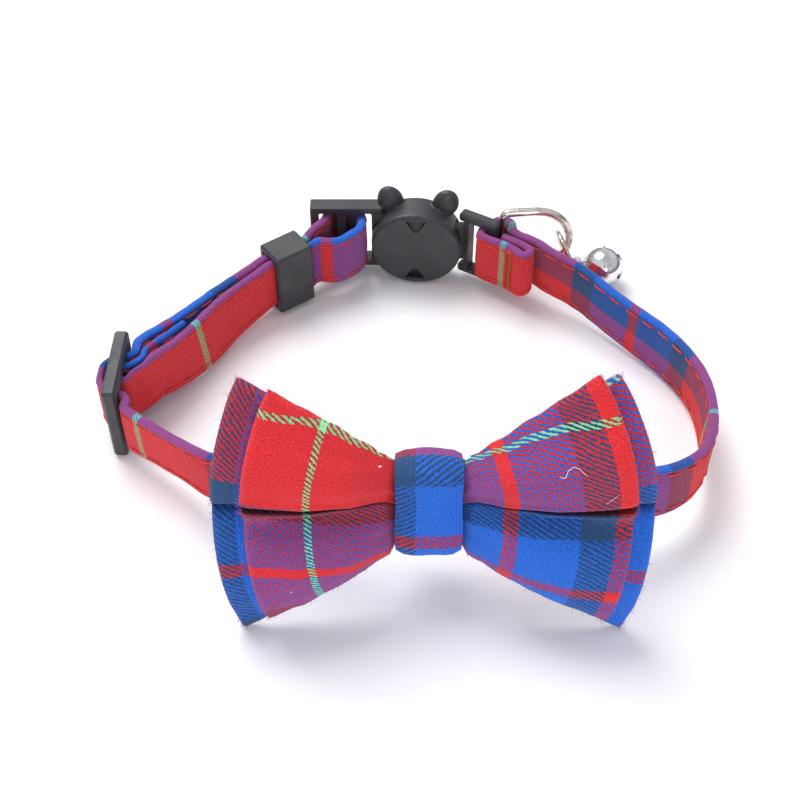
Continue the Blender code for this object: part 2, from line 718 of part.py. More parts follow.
def make_slider(plastic):
    length = 2 * SLIDER_END_BAR + 2 * SLIDER_SLOT + SLIDER_MIDDLE_BAR
    at = plan_frame(SLIDER_PLACE, SLIDER_HEADING)
    z = GAP + SLIDER_HEIGHT / 2
    centre = (*SLIDER_PLACE, z)
    slot_height = STRAP_WIDTH + 2 * GAP
    size = (length, SLIDER_PLATE, SLIDER_HEIGHT)
    body = block("slider", size, centre, SLIDER_HEADING, SLIDER_ROUND, plastic)
    for side in (-1, 1):
        spot = at(side * (SLIDER_MIDDLE_BAR + SLIDER_SLOT) / 2, 0)
        size = (SLIDER_SLOT, 3 * SLIDER_PLATE, slot_height)
        combine(body, block("slot", size, (*spot, z), SLIDER_HEADING), "DIFFERENCE")
        spare = (SLIDER_PLATE - SLIDER_MIDDLE_THICK) / 2
        spot = at(0, side * (SLIDER_MIDDLE_THICK / 2 + spare))
        size = (SLIDER_MIDDLE_BAR + SLIDER_SLOT, 2 * spare, slot_height)
        combine(body, block("relief", size, (*spot, z), SLIDER_HEADING), "DIFFERENCE")
    return body


def make_keeper(plastic):
    inside = 2 * STRAP_THICKNESS + 3 * GAP
    high = STRAP_WIDTH + 2 * GAP
    centre = (*KEEPER_PLACE, KEEPER_LIFT)
    size = (KEEPER_LENGTH, inside + 2 * KEEPER_WALL, high + 2 * KEEPER_RIM)
    body = block("keeper", size, centre, KEEPER_HEADING, KEEPER_ROUND, plastic)
    combine(body, block("bore", (2 * KEEPER_LENGTH, inside, high), centre, KEEPER_HEADING), "DIFFERENCE")
    return body


def make_head(plastic):
    frame = head_frame()
    x, y = DISC_PLACE
    z = BUCKLE_CENTRE_Z
    front = y - DISC_THICK / 2
    half_width, half_height = DISC_WIDTH / 2, DISC_HEIGHT / 2
    body = drum("buckle_head", half_width, half_height, DISC_THICK, (x, y, z), 32, DISC_ROUND, plastic)
    for side in (-1, 1):
        spot = (x + side * EAR_APART / 2, y + (DISC_THICK - EAR_THICK) / 2, z + EAR_RISE)
        combine(body, drum("ear", EAR_RADIUS, EAR_RADIUS, EAR_THICK, spot, 14, DISC_ROUND), "UNION")
    wide, tall = NOTCH_WIDTH / 2, NOTCH_HEIGHT
    for side in (-1, 1):
        rim = z + side * DISC_HEIGHT * 0.42
        tip = rim - side * tall
        outline = ((x - wide, rim), (x + wide, rim), (x + wide * 0.25, tip), (x - wide * 0.25, tip))
        combine(body, wedge("notch", outline, front - NOTCH_DEPTH, front + NOTCH_DEPTH), "DIFFERENCE")
    centre = Matrix.Translation((x, y, z))
    body.data.transform(centre @ Matrix.Rotation(DISC_TURN, 4, "Z") @ centre.inverted())
    reach = frame.disc + DISC_WIDTH * 0.12
    size = (reach - frame.left, FRAME_THICK, STRAP_WIDTH + 2 * GAP + 2 * RAIL)
    combine(body, block("frame", size, ((reach + frame.left) / 2, FRAME_Y, z), 0, FRAME_ROUND), "UNION")
    slot_height = STRAP_WIDTH + 2 * GAP
    for low, high in ((frame.left + HEAD_END_BAR, frame.middle_left), (frame.middle_right, frame.disc)):
        spot = ((low + high) / 2, FRAME_Y, z)
        combine(body, block("slot", (high - low, 3 * FRAME_THICK, slot_height), spot), "DIFFERENCE")
    deep = DISC_WIDTH - (DISC_WIDTH / 2 - TONGUE_LENGTH / 2)
    socket = (deep, TONGUE_THICK + 2 * GAP, TONGUE_HEIGHT + 2 * GAP)
    right = x + DISC_WIDTH / 2
    combine(body, block("socket", socket, (right - TONGUE_LENGTH - GAP + deep / 2, y, z)), "DIFFERENCE")
    return body


def make_tongue(plastic):
    at = plan_frame(TONGUE_PLACE, TONGUE_ANGLE)
    z = BUCKLE_CENTRE_Z
    post, high = -TONGUE_BAR / 2 - TONGUE_SLOT - TONGUE_POST, TONGUE_BAR / 2
    low = post - TONGUE_HORN
    slot_height = STRAP_WIDTH + 2 * GAP
    spot = at((low + high) / 2, TONGUE_FRAME_SET)
    size = (high - low, TONGUE_FRAME_THICK, slot_height + 2 * RAIL)
    body = block("buckle_tongue", size, (*spot, z), TONGUE_ANGLE, FRAME_ROUND, plastic)
    cuts = ((-TONGUE_BAR / 2 - TONGUE_SLOT / 2, TONGUE_SLOT), (post - TONGUE_HORN, 2 * TONGUE_HORN))
    for along, length in cuts:
        size = (length, 4 * TONGUE_FRAME_THICK, slot_height)
        combine(body, block("slot", size, (*at(along, 0), z), TONGUE_ANGLE), "DIFFERENCE")
    spot = at(0, TONGUE_BAR_THICK / 2 + TONGUE_FRAME_THICK)
    size = (TONGUE_BAR * 1.5, 2 * TONGUE_FRAME_THICK, slot_height)
    combine(body, block("relief", size, (*spot, z), TONGUE_ANGLE), "DIFFERENCE")
    start = DISC_PLACE[0] + DISC_WIDTH / 2 - TONGUE_LENGTH
    end = at(post + TONGUE_POST / 2, 0).x
    size = (end - start, TONGUE_THICK, TONGUE_HEIGHT)
    combine(body, block("tongue", size, ((start + end) / 2, DISC_PLACE[1], z), 0, FRAME_ROUND / 2), "UNION")
    return body


def d_frame():
    """Where the D-ring's bar is, and the way in which the ring reaches out."""
    bar = plan_frame(TONGUE_PLACE, TONGUE_ANGLE)(D_ALONG, d_ring_outward())
    return Vector((bar.x, bar.y, BUCKLE_CENTRE_Z + D_LIFT)), Vector((cos(D_WAY), sin(D_WAY), 0))


def make_d_ring(metal):
    bar, way = d_frame()
    line = []
    for side in (-1, 1):
        arc = []
        for k in range(4):
            turn = pi / 2 * k / 3
            rise = D_RADIUS - D_CORNER + D_CORNER * sin(turn)
            ahead = D_CORNER - D_CORNER * cos(turn)
            arc.append(bar + way * ahead + Vector((0, 0, side * rise)))
        line += arc if side > 0 else arc[::-1]
    turns = [pi * k / 12 for k in range(13)]
    tip = bar + way * D_ARM
    bow_line = [tip + way * (D_RADIUS * sin(t)) + Vector((0, 0, D_RADIUS * cos(t))) for t in turns]
    return wire("d_ring", line + bow_line, D_WIRE / 2, metal)


def jump_frame():
    """The jump ring's middle and the two directions of its plane."""
    bar, way = d_frame()
    middle = bar + way * (D_ARM + D_RADIUS * JUMP_AT) + Vector(JUMP_SET)
    long_way = Vector(JUMP_LONG).normalized()
    look = Vector(JUMP_LOOK)
    return middle, long_way, (look - long_way * look.dot(long_way)).normalized()


def make_jump_ring(metal):
    middle, a, b = jump_frame()
    line = [middle + (a * cos(2 * pi * k / 16) + b * sin(2 * pi * k / 16)) * JUMP_RADIUS for k in range(16)]
    return wire("jump_ring", line, JUMP_WIRE / 2, metal)


def make_bell(metal):
    """A hollow ball with a seam, a cross-shaped slot on its far side and a hoop towards the jump ring."""
    centre = Vector((*BELL_PLACE, BELL_RADIUS + BELL_SEAM + GAP / 3))
    shells = []
    for name, radius, seam in (("bell", BELL_RADIUS, BELL_SEAM), ("hollow", BELL_RADIUS - BELL_WALL, 0)):
        work = bmesh.new()
        bmesh.ops.create_uvsphere(work, u_segments=20, v_segments=12, radius=radius)
        for spot in work.verts:
            if abs(spot.co.z) < radius * 0.03:
                spot.co *= 1 + seam / radius
        bmesh.ops.rotate(work, verts=work.verts, matrix=Matrix.Rotation(pi / 2, 3, "Y"))
        bmesh.ops.translate(work, verts=work.verts, vec=centre)
        mesh = bpy.data.meshes.new(name)
        work.to_mesh(mesh)
        work.free()
        shells.append(finish(name, mesh, metal, 60))
    body, hollow = shells
    _, long_way, flat = jump_frame()
    hoop_at = centre - Vector((BELL_RADIUS + HOOP_RADIUS * 0.82, 0, 0))
    side = Vector((1, 0, 0))
    lift = side.cross(flat).normalized()
    turns = [2 * pi * k / 14 for k in range(14)]
    line = [hoop_at + (side * cos(t) + lift * sin(t)) * HOOP_RADIUS for t in turns]
    combine(body, wire("hoop", line, HOOP_WIRE / 2, None), "UNION")
    combine(body, hollow, "DIFFERENCE")
    reach = BELL_RADIUS * 1.1
    for turn in (0, pi / 2):
        size = (reach, BELL_SLOT if turn else 2 * reach * 0.8, 2 * reach * 0.8 if turn else BELL_SLOT)
        spot = centre + Vector((reach / 2 + BELL_RADIUS * 0.25, 0, 0))
        combine(body, block("slot", size, spot), "DIFFERENCE")
    return body


def make_bow(bow, cloth):
    for name, (points, faces) in zip(("bow_front", "bow_back"), bow.layers):
        bow.place(name, points, faces, cloth)
    depth = bow.knot_depth
    half_v = PINCH_HEIGHT / 2 + GAP + KNOT_WALL / 2
    half_w = depth / 2 - KNOT_WALL / 2
    band_round(bow, "bow_knot", half_v, half_w, (0, -depth / 2), KNOT_WALL, KNOT_CORNER, KNOT_WIDTH, cloth)
    half_v = STRAP_WIDTH / 2 + GAP + CARRIER_WALL / 2
    half_w = STRAP_THICKNESS / 2 + GAP + CARRIER_WALL / 2
    middle = (-CARRIER_DROP, bow.strap_w)
    band_round(bow, "bow_loop", half_v, half_w, middle, CARRIER_WALL, CARRIER_CORNER, CARRIER_WIDTH, cloth)


def centre_on_floor():
    """Moves the whole part so that its box stands on the origin, centred in plan."""
    meshes = [thing.data for thing in bpy.data.objects if thing.type == "MESH"]
    spots = [spot.co for mesh in meshes for spot in mesh.vertices]
    low = Vector([min(spot[axis] for spot in spots) for axis in range(3)])
    high = Vector([max(spot[axis] for spot in spots) for axis in range(3)])
    shift = Matrix.Translation((-(low.x + high.x) / 2, -(low.y + high.y) / 2, -low.z))
    for mesh in meshes:
        mesh.transform(shift)


def main():
    clear_scene()
    cloth = material("tartan_cotton", (0.45, 0.03, 0.05), 0.9)
    dark_cloth = material("blue_tartan_cotton", (0.03, 0.06, 0.35), 0.9)
    plastic = material("black_plastic", (0.035, 0.036, 0.038), 0.45)
    metal = material("nickel", (0.75, 0.73, 0.70), 0.25, 1.0)
    bow = Bow()
    make_strap(bow, cloth)
    make_slider(plastic)
    make_keeper(plastic)
    make_head(plastic)
    make_tongue(plastic)
    make_d_ring(metal)
    make_jump_ring(metal)
    make_bell(metal)
    make_bow(bow, dark_cloth)
    centre_on_floor()


main()
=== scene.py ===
"""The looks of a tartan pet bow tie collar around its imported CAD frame."""

import json
import logging
import random
from dataclasses import dataclass
from enum import Enum
from math import ceil, cos, exp, pi, radians, sin
from typing import Callable, Iterable, NamedTuple, Sequence

import bmesh
import bpy
from mathutils import Matrix, Vector, noise

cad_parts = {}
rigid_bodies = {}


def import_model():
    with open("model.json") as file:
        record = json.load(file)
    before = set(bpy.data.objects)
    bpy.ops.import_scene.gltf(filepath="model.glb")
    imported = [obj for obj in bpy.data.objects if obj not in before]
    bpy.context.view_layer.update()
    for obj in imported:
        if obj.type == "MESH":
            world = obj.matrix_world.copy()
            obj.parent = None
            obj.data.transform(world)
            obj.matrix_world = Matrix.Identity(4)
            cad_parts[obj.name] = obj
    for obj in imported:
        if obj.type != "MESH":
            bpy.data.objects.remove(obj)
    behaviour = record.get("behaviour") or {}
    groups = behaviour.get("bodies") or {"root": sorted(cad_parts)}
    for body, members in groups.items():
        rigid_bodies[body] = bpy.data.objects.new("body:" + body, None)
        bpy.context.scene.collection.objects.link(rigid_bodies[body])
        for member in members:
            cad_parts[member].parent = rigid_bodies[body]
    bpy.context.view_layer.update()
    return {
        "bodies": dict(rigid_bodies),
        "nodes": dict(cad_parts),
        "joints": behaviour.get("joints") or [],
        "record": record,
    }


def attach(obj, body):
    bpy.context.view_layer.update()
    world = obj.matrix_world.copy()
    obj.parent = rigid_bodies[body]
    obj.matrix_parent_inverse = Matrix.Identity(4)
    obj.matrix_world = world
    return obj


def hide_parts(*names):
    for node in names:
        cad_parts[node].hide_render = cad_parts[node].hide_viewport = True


logging.basicConfig(level=logging.INFO, format="%(message)s")
log = logging.getLogger("collar")

MM = 0.001
BODY = "root"
GAP = 0.3 * MM
ROW_SHIFT = Vector((-0.877434e-3, 5.411809e-3, 0.0))  # from the band's own plan to the row frame

# The neck loop and its band, with the lengths of the CAD solids
LOOP_WIDTH = 95 * MM
LOOP_DEPTH = 66 * MM
STRAP_WIDTH = 10 * MM
STRAP_THICKNESS = 1.5 * MM
STRAP_TAIL = 1.0 * MM


class Face(Enum):
    """A face of the folded band: the one towards the neck along its main run, or the one that shows."""

    NECK = 1
    SHOW = -1


def lerp(a: float, b: float, share: float) -> float:
    """A value between a and b."""
    return a + (b - a) * share


def ease(share: float) -> float:
    """A share from 0 to 1 that starts and ends softly."""
    share = min(max(share, 0.0), 1.0)
    return share * share * (3 - 2 * share)


def hump(at: float, middle: float, width: float) -> float:
    """A smooth hump: 1 at its middle and nearly 0 two widths away."""
    return exp(-(((at - middle) / width) ** 2))


def uneven(place: Sequence[float], amount: float) -> float:
    """A smooth random number up to an amount, the same each time at a place."""
    return noise.noise(Vector(place)) * amount


def linear(code: str) -> tuple[float, float, float, float]:
    """A colour for a shader from its sRGB hex code.

    Args:
        code: Six hex digits after a hash sign.

    Returns:
        Red, green, blue and alpha, linear.
    """
    parts = [int(code[i : i + 2], 16) / 255 for i in (1, 3, 5)]
    red, green, blue = (c / 12.92 if c <= 0.04045 else ((c + 0.055) / 1.055) ** 2.4 for c in parts)
    return red, green, blue, 1.0


def feed(tree: bpy.types.NodeTree, node: bpy.types.Node, inputs: dict[int | str, object]) -> None:
    """Gives a node a value or another node's output for each named or numbered input."""
    for name, value in inputs.items():
        if isinstance(value, bpy.types.NodeSocket):
            tree.links.new(value, node.inputs[name])
        else:
            node.inputs[name].default_value = value


def add_node(
    tree: bpy.types.NodeTree, kind: str, inputs: dict[int | str, object] | None = None, **settings: object
) -> bpy.types.Node:
    """Adds a shader node.

    Args:
        tree: The material's node tree.
        kind: The node's type, without the words that all types start with.
        inputs: A value or an output socket for each named or numbered input.
        **settings: The node's own settings.

    Returns:
        The node.
    """
    node = tree.nodes.new(f"ShaderNode{kind}")
    for name, value in settings.items():
        setattr(node, name, value)
    feed(tree, node, inputs or {})
    return node


def add_math(tree: bpy.types.NodeTree, operation: str, *values: object, **settings: object) -> object:
    """The output of an operation on numbers and outputs."""
    return add_node(tree, "Math", dict(enumerate(values)), operation=operation, **settings).outputs[0]


def add_tone(tree: bpy.types.NodeTree, share: object, low: object, high: object, **settings: object) -> object:
    """The output of a mix of two colours, each an output or a hex code."""
    low, high = (linear(tone) if isinstance(tone, str) else tone for tone in (low, high))
    return add_node(tree, "Mix", {0: share, 6: low, 7: high}, data_type="RGBA", **settings).outputs[2]


def add_noise(
    tree: bpy.types.NodeTree, place: object, scale: float, detail: float = 2.0, rough: float = 0.5
) -> object:
    """The outputs of a noise: its value and its colour."""
    settings = {"Vector": place, "Scale": scale, "Detail": detail, "Roughness": rough}
    return add_node(tree, "TexNoise", settings).outputs


def add_range(tree: bpy.types.NodeTree, value: object, *ends: float) -> object:
    """The output of a value moved from one range to another, whose four ends follow it."""
    return add_node(tree, "MapRange", dict(enumerate((value, *ends)))).outputs[0]


def add_bump(tree: bpy.types.NodeTree, height: object, strength: float, distance: float) -> object:
    """The output of a bump whose distance is in metres."""
    return add_node(tree, "Bump", {"Height": height, "Strength": strength, "Distance": distance}).outputs[0]


def new_material(name: str) -> tuple[bpy.types.Material, bpy.types.NodeTree, bpy.types.Node]:
    """A material with its tree and its Principled shader."""
    material = bpy.data.materials.new(name)
    material.use_nodes = True
    return material, material.node_tree, material.node_tree.nodes["Principled BSDF"]


class Band(NamedTuple):
    """A stripe of the tartan's sett: where it starts in millimetres, and its colour."""

    start: float
    colour: str


RED, BLUE, NAVY, MINT = "#E4343A", "#2D6EDA", "#32527E", "#A2F0AE"
SETT_LENGTH = 53.9
SETT = (
    Band(0.0, MINT), Band(0.62, RED), Band(13.5, NAVY), Band(18.1, BLUE), Band(26.1, RED),
    Band(27.8, BLUE), Band(35.8, NAVY), Band(40.4, RED), Band(53.28, MINT),
)
STRAP_ROWS = (Band(0.0, RED), Band(15.5, NAVY), Band(20.2, BLUE), Band(40.0, BLUE))


@dataclass(frozen=True)
class TartanTwill:
    """Brushed cotton tartan in a 2/2 twill: flat and matt, its diagonal ribs mix the two threads' colours."""

    name: str
    mint_column: float
    mint_row: float
    rows: tuple[Band, ...] = SETT
    rows_length: float = SETT_LENGTH
    warp_spacing: float = 0.3125  # mm
    weft_spacing: float = 0.18  # mm
    bead: float = 1.9  # per mm
    wander: float = 0.34  # mm
    rib_sway: float = 1.5
    rib_level: float = -2.1
    bead_sway: float = 5.2
    # Painted shade in the low parts of the weave: in the grooves between threads, and between the ribs
    groove: float = 0.18
    rib_shade: float = 0.16
    base_tone: float = -0.14
    nap_scale: float = 3.4  # per mm
    nap_tone: float = 2.0
    # Painted shade in the gaps between threads of unlike colours
    thread_gap_shade: float = -0.24
    # How dark the painted shade in the pleat's crease and beside the knot is
    hollow_tone: float = -0.92
    rib_height: float = 0.8
    relief: float = 0.05 * MM

    def stripes(
        self, tree: bpy.types.NodeTree, place: object, start: float, bands: tuple[Band, ...], length: float
    ) -> object:
        """The colour of the thread at a place across its stripes.

        Args:
            tree: The material's node tree.
            place: The output with the place in millimetres.
            start: Where the sett starts.
            bands: The stripes.
            length: The sett's length in millimetres.

        Returns:
            The colour's output.
        """
        moved = add_math(tree, "DIVIDE", add_math(tree, "SUBTRACT", place, start), length)
        ramp = add_node(tree, "ValToRGB", {0: add_math(tree, "FRACT", moved)})
        ramp.color_ramp.interpolation = "CONSTANT"
        stops = ramp.color_ramp.elements
        for number, band in enumerate(bands):
            spot = min(band.start / length, 1.0)
            stop = stops[number] if number < 2 else stops.new(spot)
            stop.position = spot
            stop.color = linear(band.colour)
        return ramp.outputs["Color"]

    def wave(self, tree: bpy.types.NodeTree, place: object, pitch: float) -> object:
        """A sine of a place with a pitch in millimetres."""
        return add_math(tree, "SINE", add_math(tree, "MULTIPLY", place, 2 * pi / pitch))

    def build(self) -> bpy.types.Material:
        """Builds the material on the piece's own map, whose unit is a millimetre of cloth."""
        material, tree, shader = new_material(self.name)
        place = add_node(tree, "UVMap", uv_map="cloth").outputs[0]
        # The threads lie loosely: each one wanders by about a tenth of a millimetre
        drift = add_node(tree, "SeparateColor", {0: add_noise(tree, place, 0.8)[1]}).outputs
        spot = add_node(tree, "SeparateXYZ", {0: place}).outputs
        across, along = (add_math(tree, "MULTIPLY_ADD", drift[i], self.wander, spot[i]) for i in (0, 1))
        columns = self.stripes(tree, across, self.mint_column, SETT, SETT_LENGTH)
        rows = self.stripes(tree, along, self.mint_row, self.rows, self.rows_length)
        rib_x = add_math(tree, "MULTIPLY", across, 1 / (4 * self.warp_spacing))
        rib = add_math(tree, "MULTIPLY_ADD", along, 1 / (4 * self.weft_spacing), rib_x)
        rib_wave = self.wave(tree, rib, 1.0)
        # Single threads stand out of the ribs or sink in, so that a rib looks like a row of broken beads
        beads = add_noise(tree, place, self.bead, 1.0)[0]
        rib_edge = add_math(tree, "MULTIPLY_ADD", rib_wave, self.rib_sway, self.rib_level)
        over = add_math(tree, "MULTIPLY_ADD", beads, self.bead_sway, rib_edge, use_clamp=True)
        warp = self.wave(tree, across, self.warp_spacing)
        weft = self.wave(tree, along, self.weft_spacing)
        relief = add_node(tree, "Mix", {0: over, 2: weft, 3: warp}).outputs[0]
        # Painted shade darkens the grooves between threads and the low parts between ribs, and the brushed nap makes
        # the cloth slightly uneven
        nap = add_noise(tree, place, self.nap_scale, 4.0, 0.75)[0]
        edge = add_math(tree, "ABSOLUTE", rib_wave)
        shade = self.base_tone
        for value, amount in ((relief, self.groove), (nap, self.nap_tone), (edge, self.rib_shade)):
            shade = add_math(tree, "MULTIPLY_ADD", value, amount, shade)
        # Painted shade: where the two threads' colours differ, the gaps between them are darkened, and so are the
        # bottom of the pleat's crease and the corner beside the knot, where little light reaches
        unlike = add_node(tree, "VectorMath", {0: rows, 1: columns}, operation="DISTANCE").outputs["Value"]
        hollow = add_node(tree, "Attribute", attribute_name="hollow").outputs["Fac"]
        for value, amount in ((unlike, self.thread_gap_shade), (hollow, self.hollow_tone)):
            shade = add_math(tree, "MULTIPLY", shade, add_math(tree, "MULTIPLY_ADD", value, amount, 1.0))
        threads = add_tone(tree, over, rows, columns)
        height = add_math(tree, "MULTIPLY_ADD", edge, self.rib_height, relief)
        feed(tree, shader, {
            "Base Color": add_tone(tree, 1.0, threads, shade, blend_type="MULTIPLY"),
            "Normal": add_bump(tree, height, 0.6, self.relief),
            "Roughness": 0.92, "Specular IOR Level": 0.15, "Sheen Weight": 0.12, "Sheen Roughness": 0.5,
        })
        return material


@dataclass(frozen=True)
class MouldedPlastic:
    """Black acetal: a fine spark-eroded grain from its mould gives a soft broad gloss."""

    name: str = "black_moulded_acetal"
    colour: str = "#37383B"
    rubbed: str = "#2C2D30"
    roughness: float = 0.46
    grain: float = 0.22 * MM

    def build(self) -> bpy.types.Material:
        """Builds the material on Object coordinates."""
        material, tree, shader = new_material(self.name)
        place = add_node(tree, "TexCoord").outputs["Object"]
        grain = add_noise(tree, place, 1 / self.grain, 3.0)[0]
        rub = add_noise(tree, place, 260.0, 3.0)[0]
        feed(tree, shader, {
            "Base Color": add_tone(tree, rub, self.colour, self.rubbed),
            "Roughness": add_range(tree, rub, 0.35, 0.7, self.roughness - 0.05, self.roughness + 0.10),
            "Normal": add_bump(tree, grain, 0.25, 0.02 * MM),
        })
        return material


@dataclass(frozen=True)
class PlatedSteel:
    """Nickel plated steel: a bright mirror, warmer and duller where the plating is thin."""

    name: str
    colour: str
    tarnish: str
    roughness: float

    def build(self) -> bpy.types.Material:
        """Builds the material on Object coordinates."""
        material, tree, shader = new_material(self.name)
        place = add_node(tree, "TexCoord").outputs["Object"]
        amount = add_range(tree, add_noise(tree, place, 420.0, 4.0)[0], 0.42, 0.68, 0.0, 1.0)
        feed(tree, shader, {
            "Base Color": add_tone(tree, amount, self.colour, self.tarnish),
            "Roughness": add_range(tree, amount, 0.0, 1.0, self.roughness, self.roughness + 0.12),
            "Metallic": 1.0,
        })
        return material


@dataclass(frozen=True)
class SewingThread:
    """Spun polyester thread: two plies twisted round each other, with a slight shine."""

    name: str
    colour: str
    ply: str = "#DE4A3C"
    twist: float = 0.35 * MM

    def build(self) -> bpy.types.Material:
        """Builds the material on Object coordinates."""
        material, tree, shader = new_material(self.name)
        place = add_node(tree, "TexCoord").outputs["Object"]
        settings = {"Vector": place, "Scale": 1 / (self.twist * 6.283), "Distortion": 1.0}
        plies = add_node(tree, "TexWave", settings).outputs[1]
        feed(tree, shader, {"Base Color": add_tone(tree, plies, self.colour, self.ply), "Roughness": 0.6})
        return material


@dataclass(frozen=True)
class Fluff:
    """Loose cotton fibres: matt, and paler where the dye is thin."""

    name: str
    colour: str
    tip: str = "#CC6E88"

    def build(self) -> bpy.types.Material:
        """Builds the material with a slight change of tone from place to place."""
        material, tree, shader = new_material(self.name)
        place = add_node(tree, "TexCoord").outputs["Object"]
        tone = add_noise(tree, place, 300.0)[0]
        feed(tree, shader, {"Base Color": add_tone(tree, tone, self.colour, self.tip), "Roughness": 0.9})
        return material


class MeshPlan:
    """Points, faces and cloth places that become one piece."""

    def __init__(self) -> None:
        """Starts with nothing."""
        self.points: list[Vector] = []
        self.faces: list[tuple[int, ...]] = []
        self.cloth: list[tuple[tuple[float, float], ...]] = []
        # How much painted shade the cloth material lays on each point
        self.hollow: list[float] = []
        self.border: list[Vector] = []

    def add(self, points: Iterable[Vector], faces: Iterable[Sequence[int]], cloth: Iterable | None = None) -> None:
        """Adds points and the faces between them.

        Args:
            points: Places in metres.
            faces: Corner numbers that count from these points.
            cloth: A place in millimetres of cloth for each corner of each face.
        """
        start = len(self.points)
        self.points += points
        self.faces += [tuple(start + corner for corner in face) for face in faces]
        self.cloth += cloth if cloth is not None else [((0.0, 0.0),) * len(face) for face in faces]

    def piece(self, name: str, material: bpy.types.Material, smooth: float = 60) -> bpy.types.Object:
        """Makes the piece, closed and facing outwards.

        Args:
            name: Its name.
            material: Its material.
            smooth: The angle in degrees over which an edge stays sharp.

        Returns:
            The object, at the origin.
        """
        mesh = bpy.data.meshes.new(name)
        mesh.from_pydata([tuple(point) for point in self.points], [], self.faces)
        layer = mesh.uv_layers.new(name="cloth")
        spots = [spot for face in self.cloth for spot in face]
        for number, spot in enumerate(spots):
            layer.data[number].uv = spot
        work = bmesh.new()
        work.from_mesh(mesh)
        bmesh.ops.recalc_face_normals(work, faces=work.faces)
        work.to_mesh(mesh)
        work.free()
        # The painted shade goes to the material as a point attribute
        if self.hollow:
            mesh.attributes.new("hollow", "FLOAT", "POINT").data.foreach_set("value", self.hollow)
        mesh.shade_smooth()
        mesh.set_sharp_from_angle(angle=radians(smooth))
        mesh.materials.append(material)
        made = bpy.data.objects.new(name, mesh)
        bpy.context.scene.collection.objects.link(made)
        return made


def tube_faces(sides: int, rings: int, closed: bool = False) -> list[tuple[int, ...]]:
    """The faces round a tube.

    Args:
        sides: How many points each ring has.
        rings: How many rings there are.
        closed: Whether the last ring joins the first.

    Returns:
        Four corner numbers for each face.
    """
    faces = []
    for ring in range(rings if closed else rings - 1):
        low, high = sides * ring, sides * ((ring + 1) % rings)
        for k in range(sides):
            n = (k + 1) % sides
            faces.append((low + k, low + n, high + n, high + k))
    return faces


def strand(plan: MeshPlan, path: Sequence[Vector], radius: float, sides: int = 3) -> None:
    """Adds a thin round thread with tapered ends to a plan.

    Args:
        plan: The mesh that it joins.
        path: Its middle line.
        radius: Its radius in metres.
        sides: How many flat sides it has.
    """
    points = []
    turns = [2 * pi * j / sides for j in range(sides)]
    for number, here in enumerate(path):
        way = (path[min(number + 1, len(path) - 1)] - path[max(number - 1, 0)]).normalized()
        side = way.cross(Vector((0.31, 0.17, 1.0))).normalized()
        lift = side.cross(way)
        thin = radius * (0.45 if number in (0, len(path) - 1) else 1.0)
        points += [here + side * (thin * cos(turn)) + lift * (thin * sin(turn)) for turn in turns]
    last = sides * (len(path) - 1)
    ends = [tuple(range(sides)), tuple(last + j for j in range(sides))]
    plan.add(points, tube_faces(sides, len(path)) + ends)


def fluff_along(plan: MeshPlan, roots: Sequence[tuple[Vector, Vector]], seed: int, longest: float) -> None:
    """Adds short curled fibres that stand out of an edge.

    Args:
        plan: The mesh that they join.
        roots: Places on the edge, each with the way out of it.
        seed: The start of the random numbers.
        longest: The longest fibre in metres.
    """
    rng = random.Random(seed)
    for place, out in roots:
        drift = Vector([rng.uniform(-1, 1) for _ in range(3)])
        way = (out + drift * 0.9).normalized()
        curl = Vector([rng.uniform(-1, 1) for _ in range(3)]).cross(way) * rng.uniform(0.2, 0.9)
        long = longest * rng.uniform(0.25, 1.0) ** 1.6
        start = place - out * 0.15 * MM + drift * 0.12 * MM
        path = [start + way * (long * k / 3) + curl * (long * (k / 3) ** 2) for k in range(4)]
        strand(plan, path, rng.uniform(0.014, 0.026) * MM)


class Station(NamedTuple):
    """A place on the band's middle line, the way its width points, and its thickness there."""

    place: Vector
    up: Vector
    thick: float


class Bend(NamedTuple):
    """A place along the band: shares of the loop's half sizes and of the band's width, and its lean in degrees."""

    across: float
    along: float
    lift: float
    lean: float
    slack: float = 0.0


class Slip(NamedTuple):
    """How far the cloth's pattern runs ahead at a length along the band, both in millimetres."""

    at: float
    by: float


RIGHT_SIDE = (
    Bend(0.655, 0.580, 0.26, 0), Bend(0.745, 0.452, 0.16, 0), Bend(0.825, 0.333, 0.10, 1),
    Bend(0.909, 0.206, 0.06, 2), Bend(0.977, 0.055, 0.05, 2), Bend(1.016, -0.121, 0.08, 2),
    Bend(1.020, -0.318, 0.16, 2), Bend(0.997, -0.515, 0.28, 1), Bend(0.944, -0.685, 0.41, 0),
    Bend(0.864, -0.800, 0.52, -3), Bend(0.758, -0.872, 0.63, -7), Bend(0.600, -0.912, 0.77, -11),
    Bend(0.420, -0.925, 0.91, -16),
)
FRONT_LEFT = (
    Bend(-0.230, -0.905, 0.89, -15), Bend(-0.430, -0.835, 0.70, -8), Bend(-0.590, -0.735, 0.46, -2),
    Bend(-0.695, -0.610, 0.34, 2), Bend(-0.790, -0.500, 0.28, 2), Bend(-0.860, -0.425, 0.26, 1),
)
LEFT_SIDE = (
    Bend(-0.862, 0.105, 0.22, 3, 0.27), Bend(-0.821, 0.164, 0.18, 6, 0.24), Bend(-0.766, 0.248, 0.14, 9, 0.18),
    Bend(-0.699, 0.364, 0.12, 9, 0.10), Bend(-0.651, 0.448, 0.12, 7, 0.05), Bend(-0.606, 0.512, 0.14, 5, 0.02),
    Bend(-0.556, 0.588, 0.16, 2, 0.01),
)
PATTERN_SLIP = (
    Slip(0, 15), Slip(17, 15), Slip(21.5, 3), Slip(27, 0.5), Slip(34, 0), Slip(110, 0), Slip(160, 6.7),
    Slip(169, 6.7), Slip(183.7, 5.0), Slip(192, 5.0), Slip(240, -0.3), Slip(272, -0.3), Slip(277, 5.6),
    Slip(299.5, -3.0), Slip(316, -6.5), Slip(900, -6.5),
)


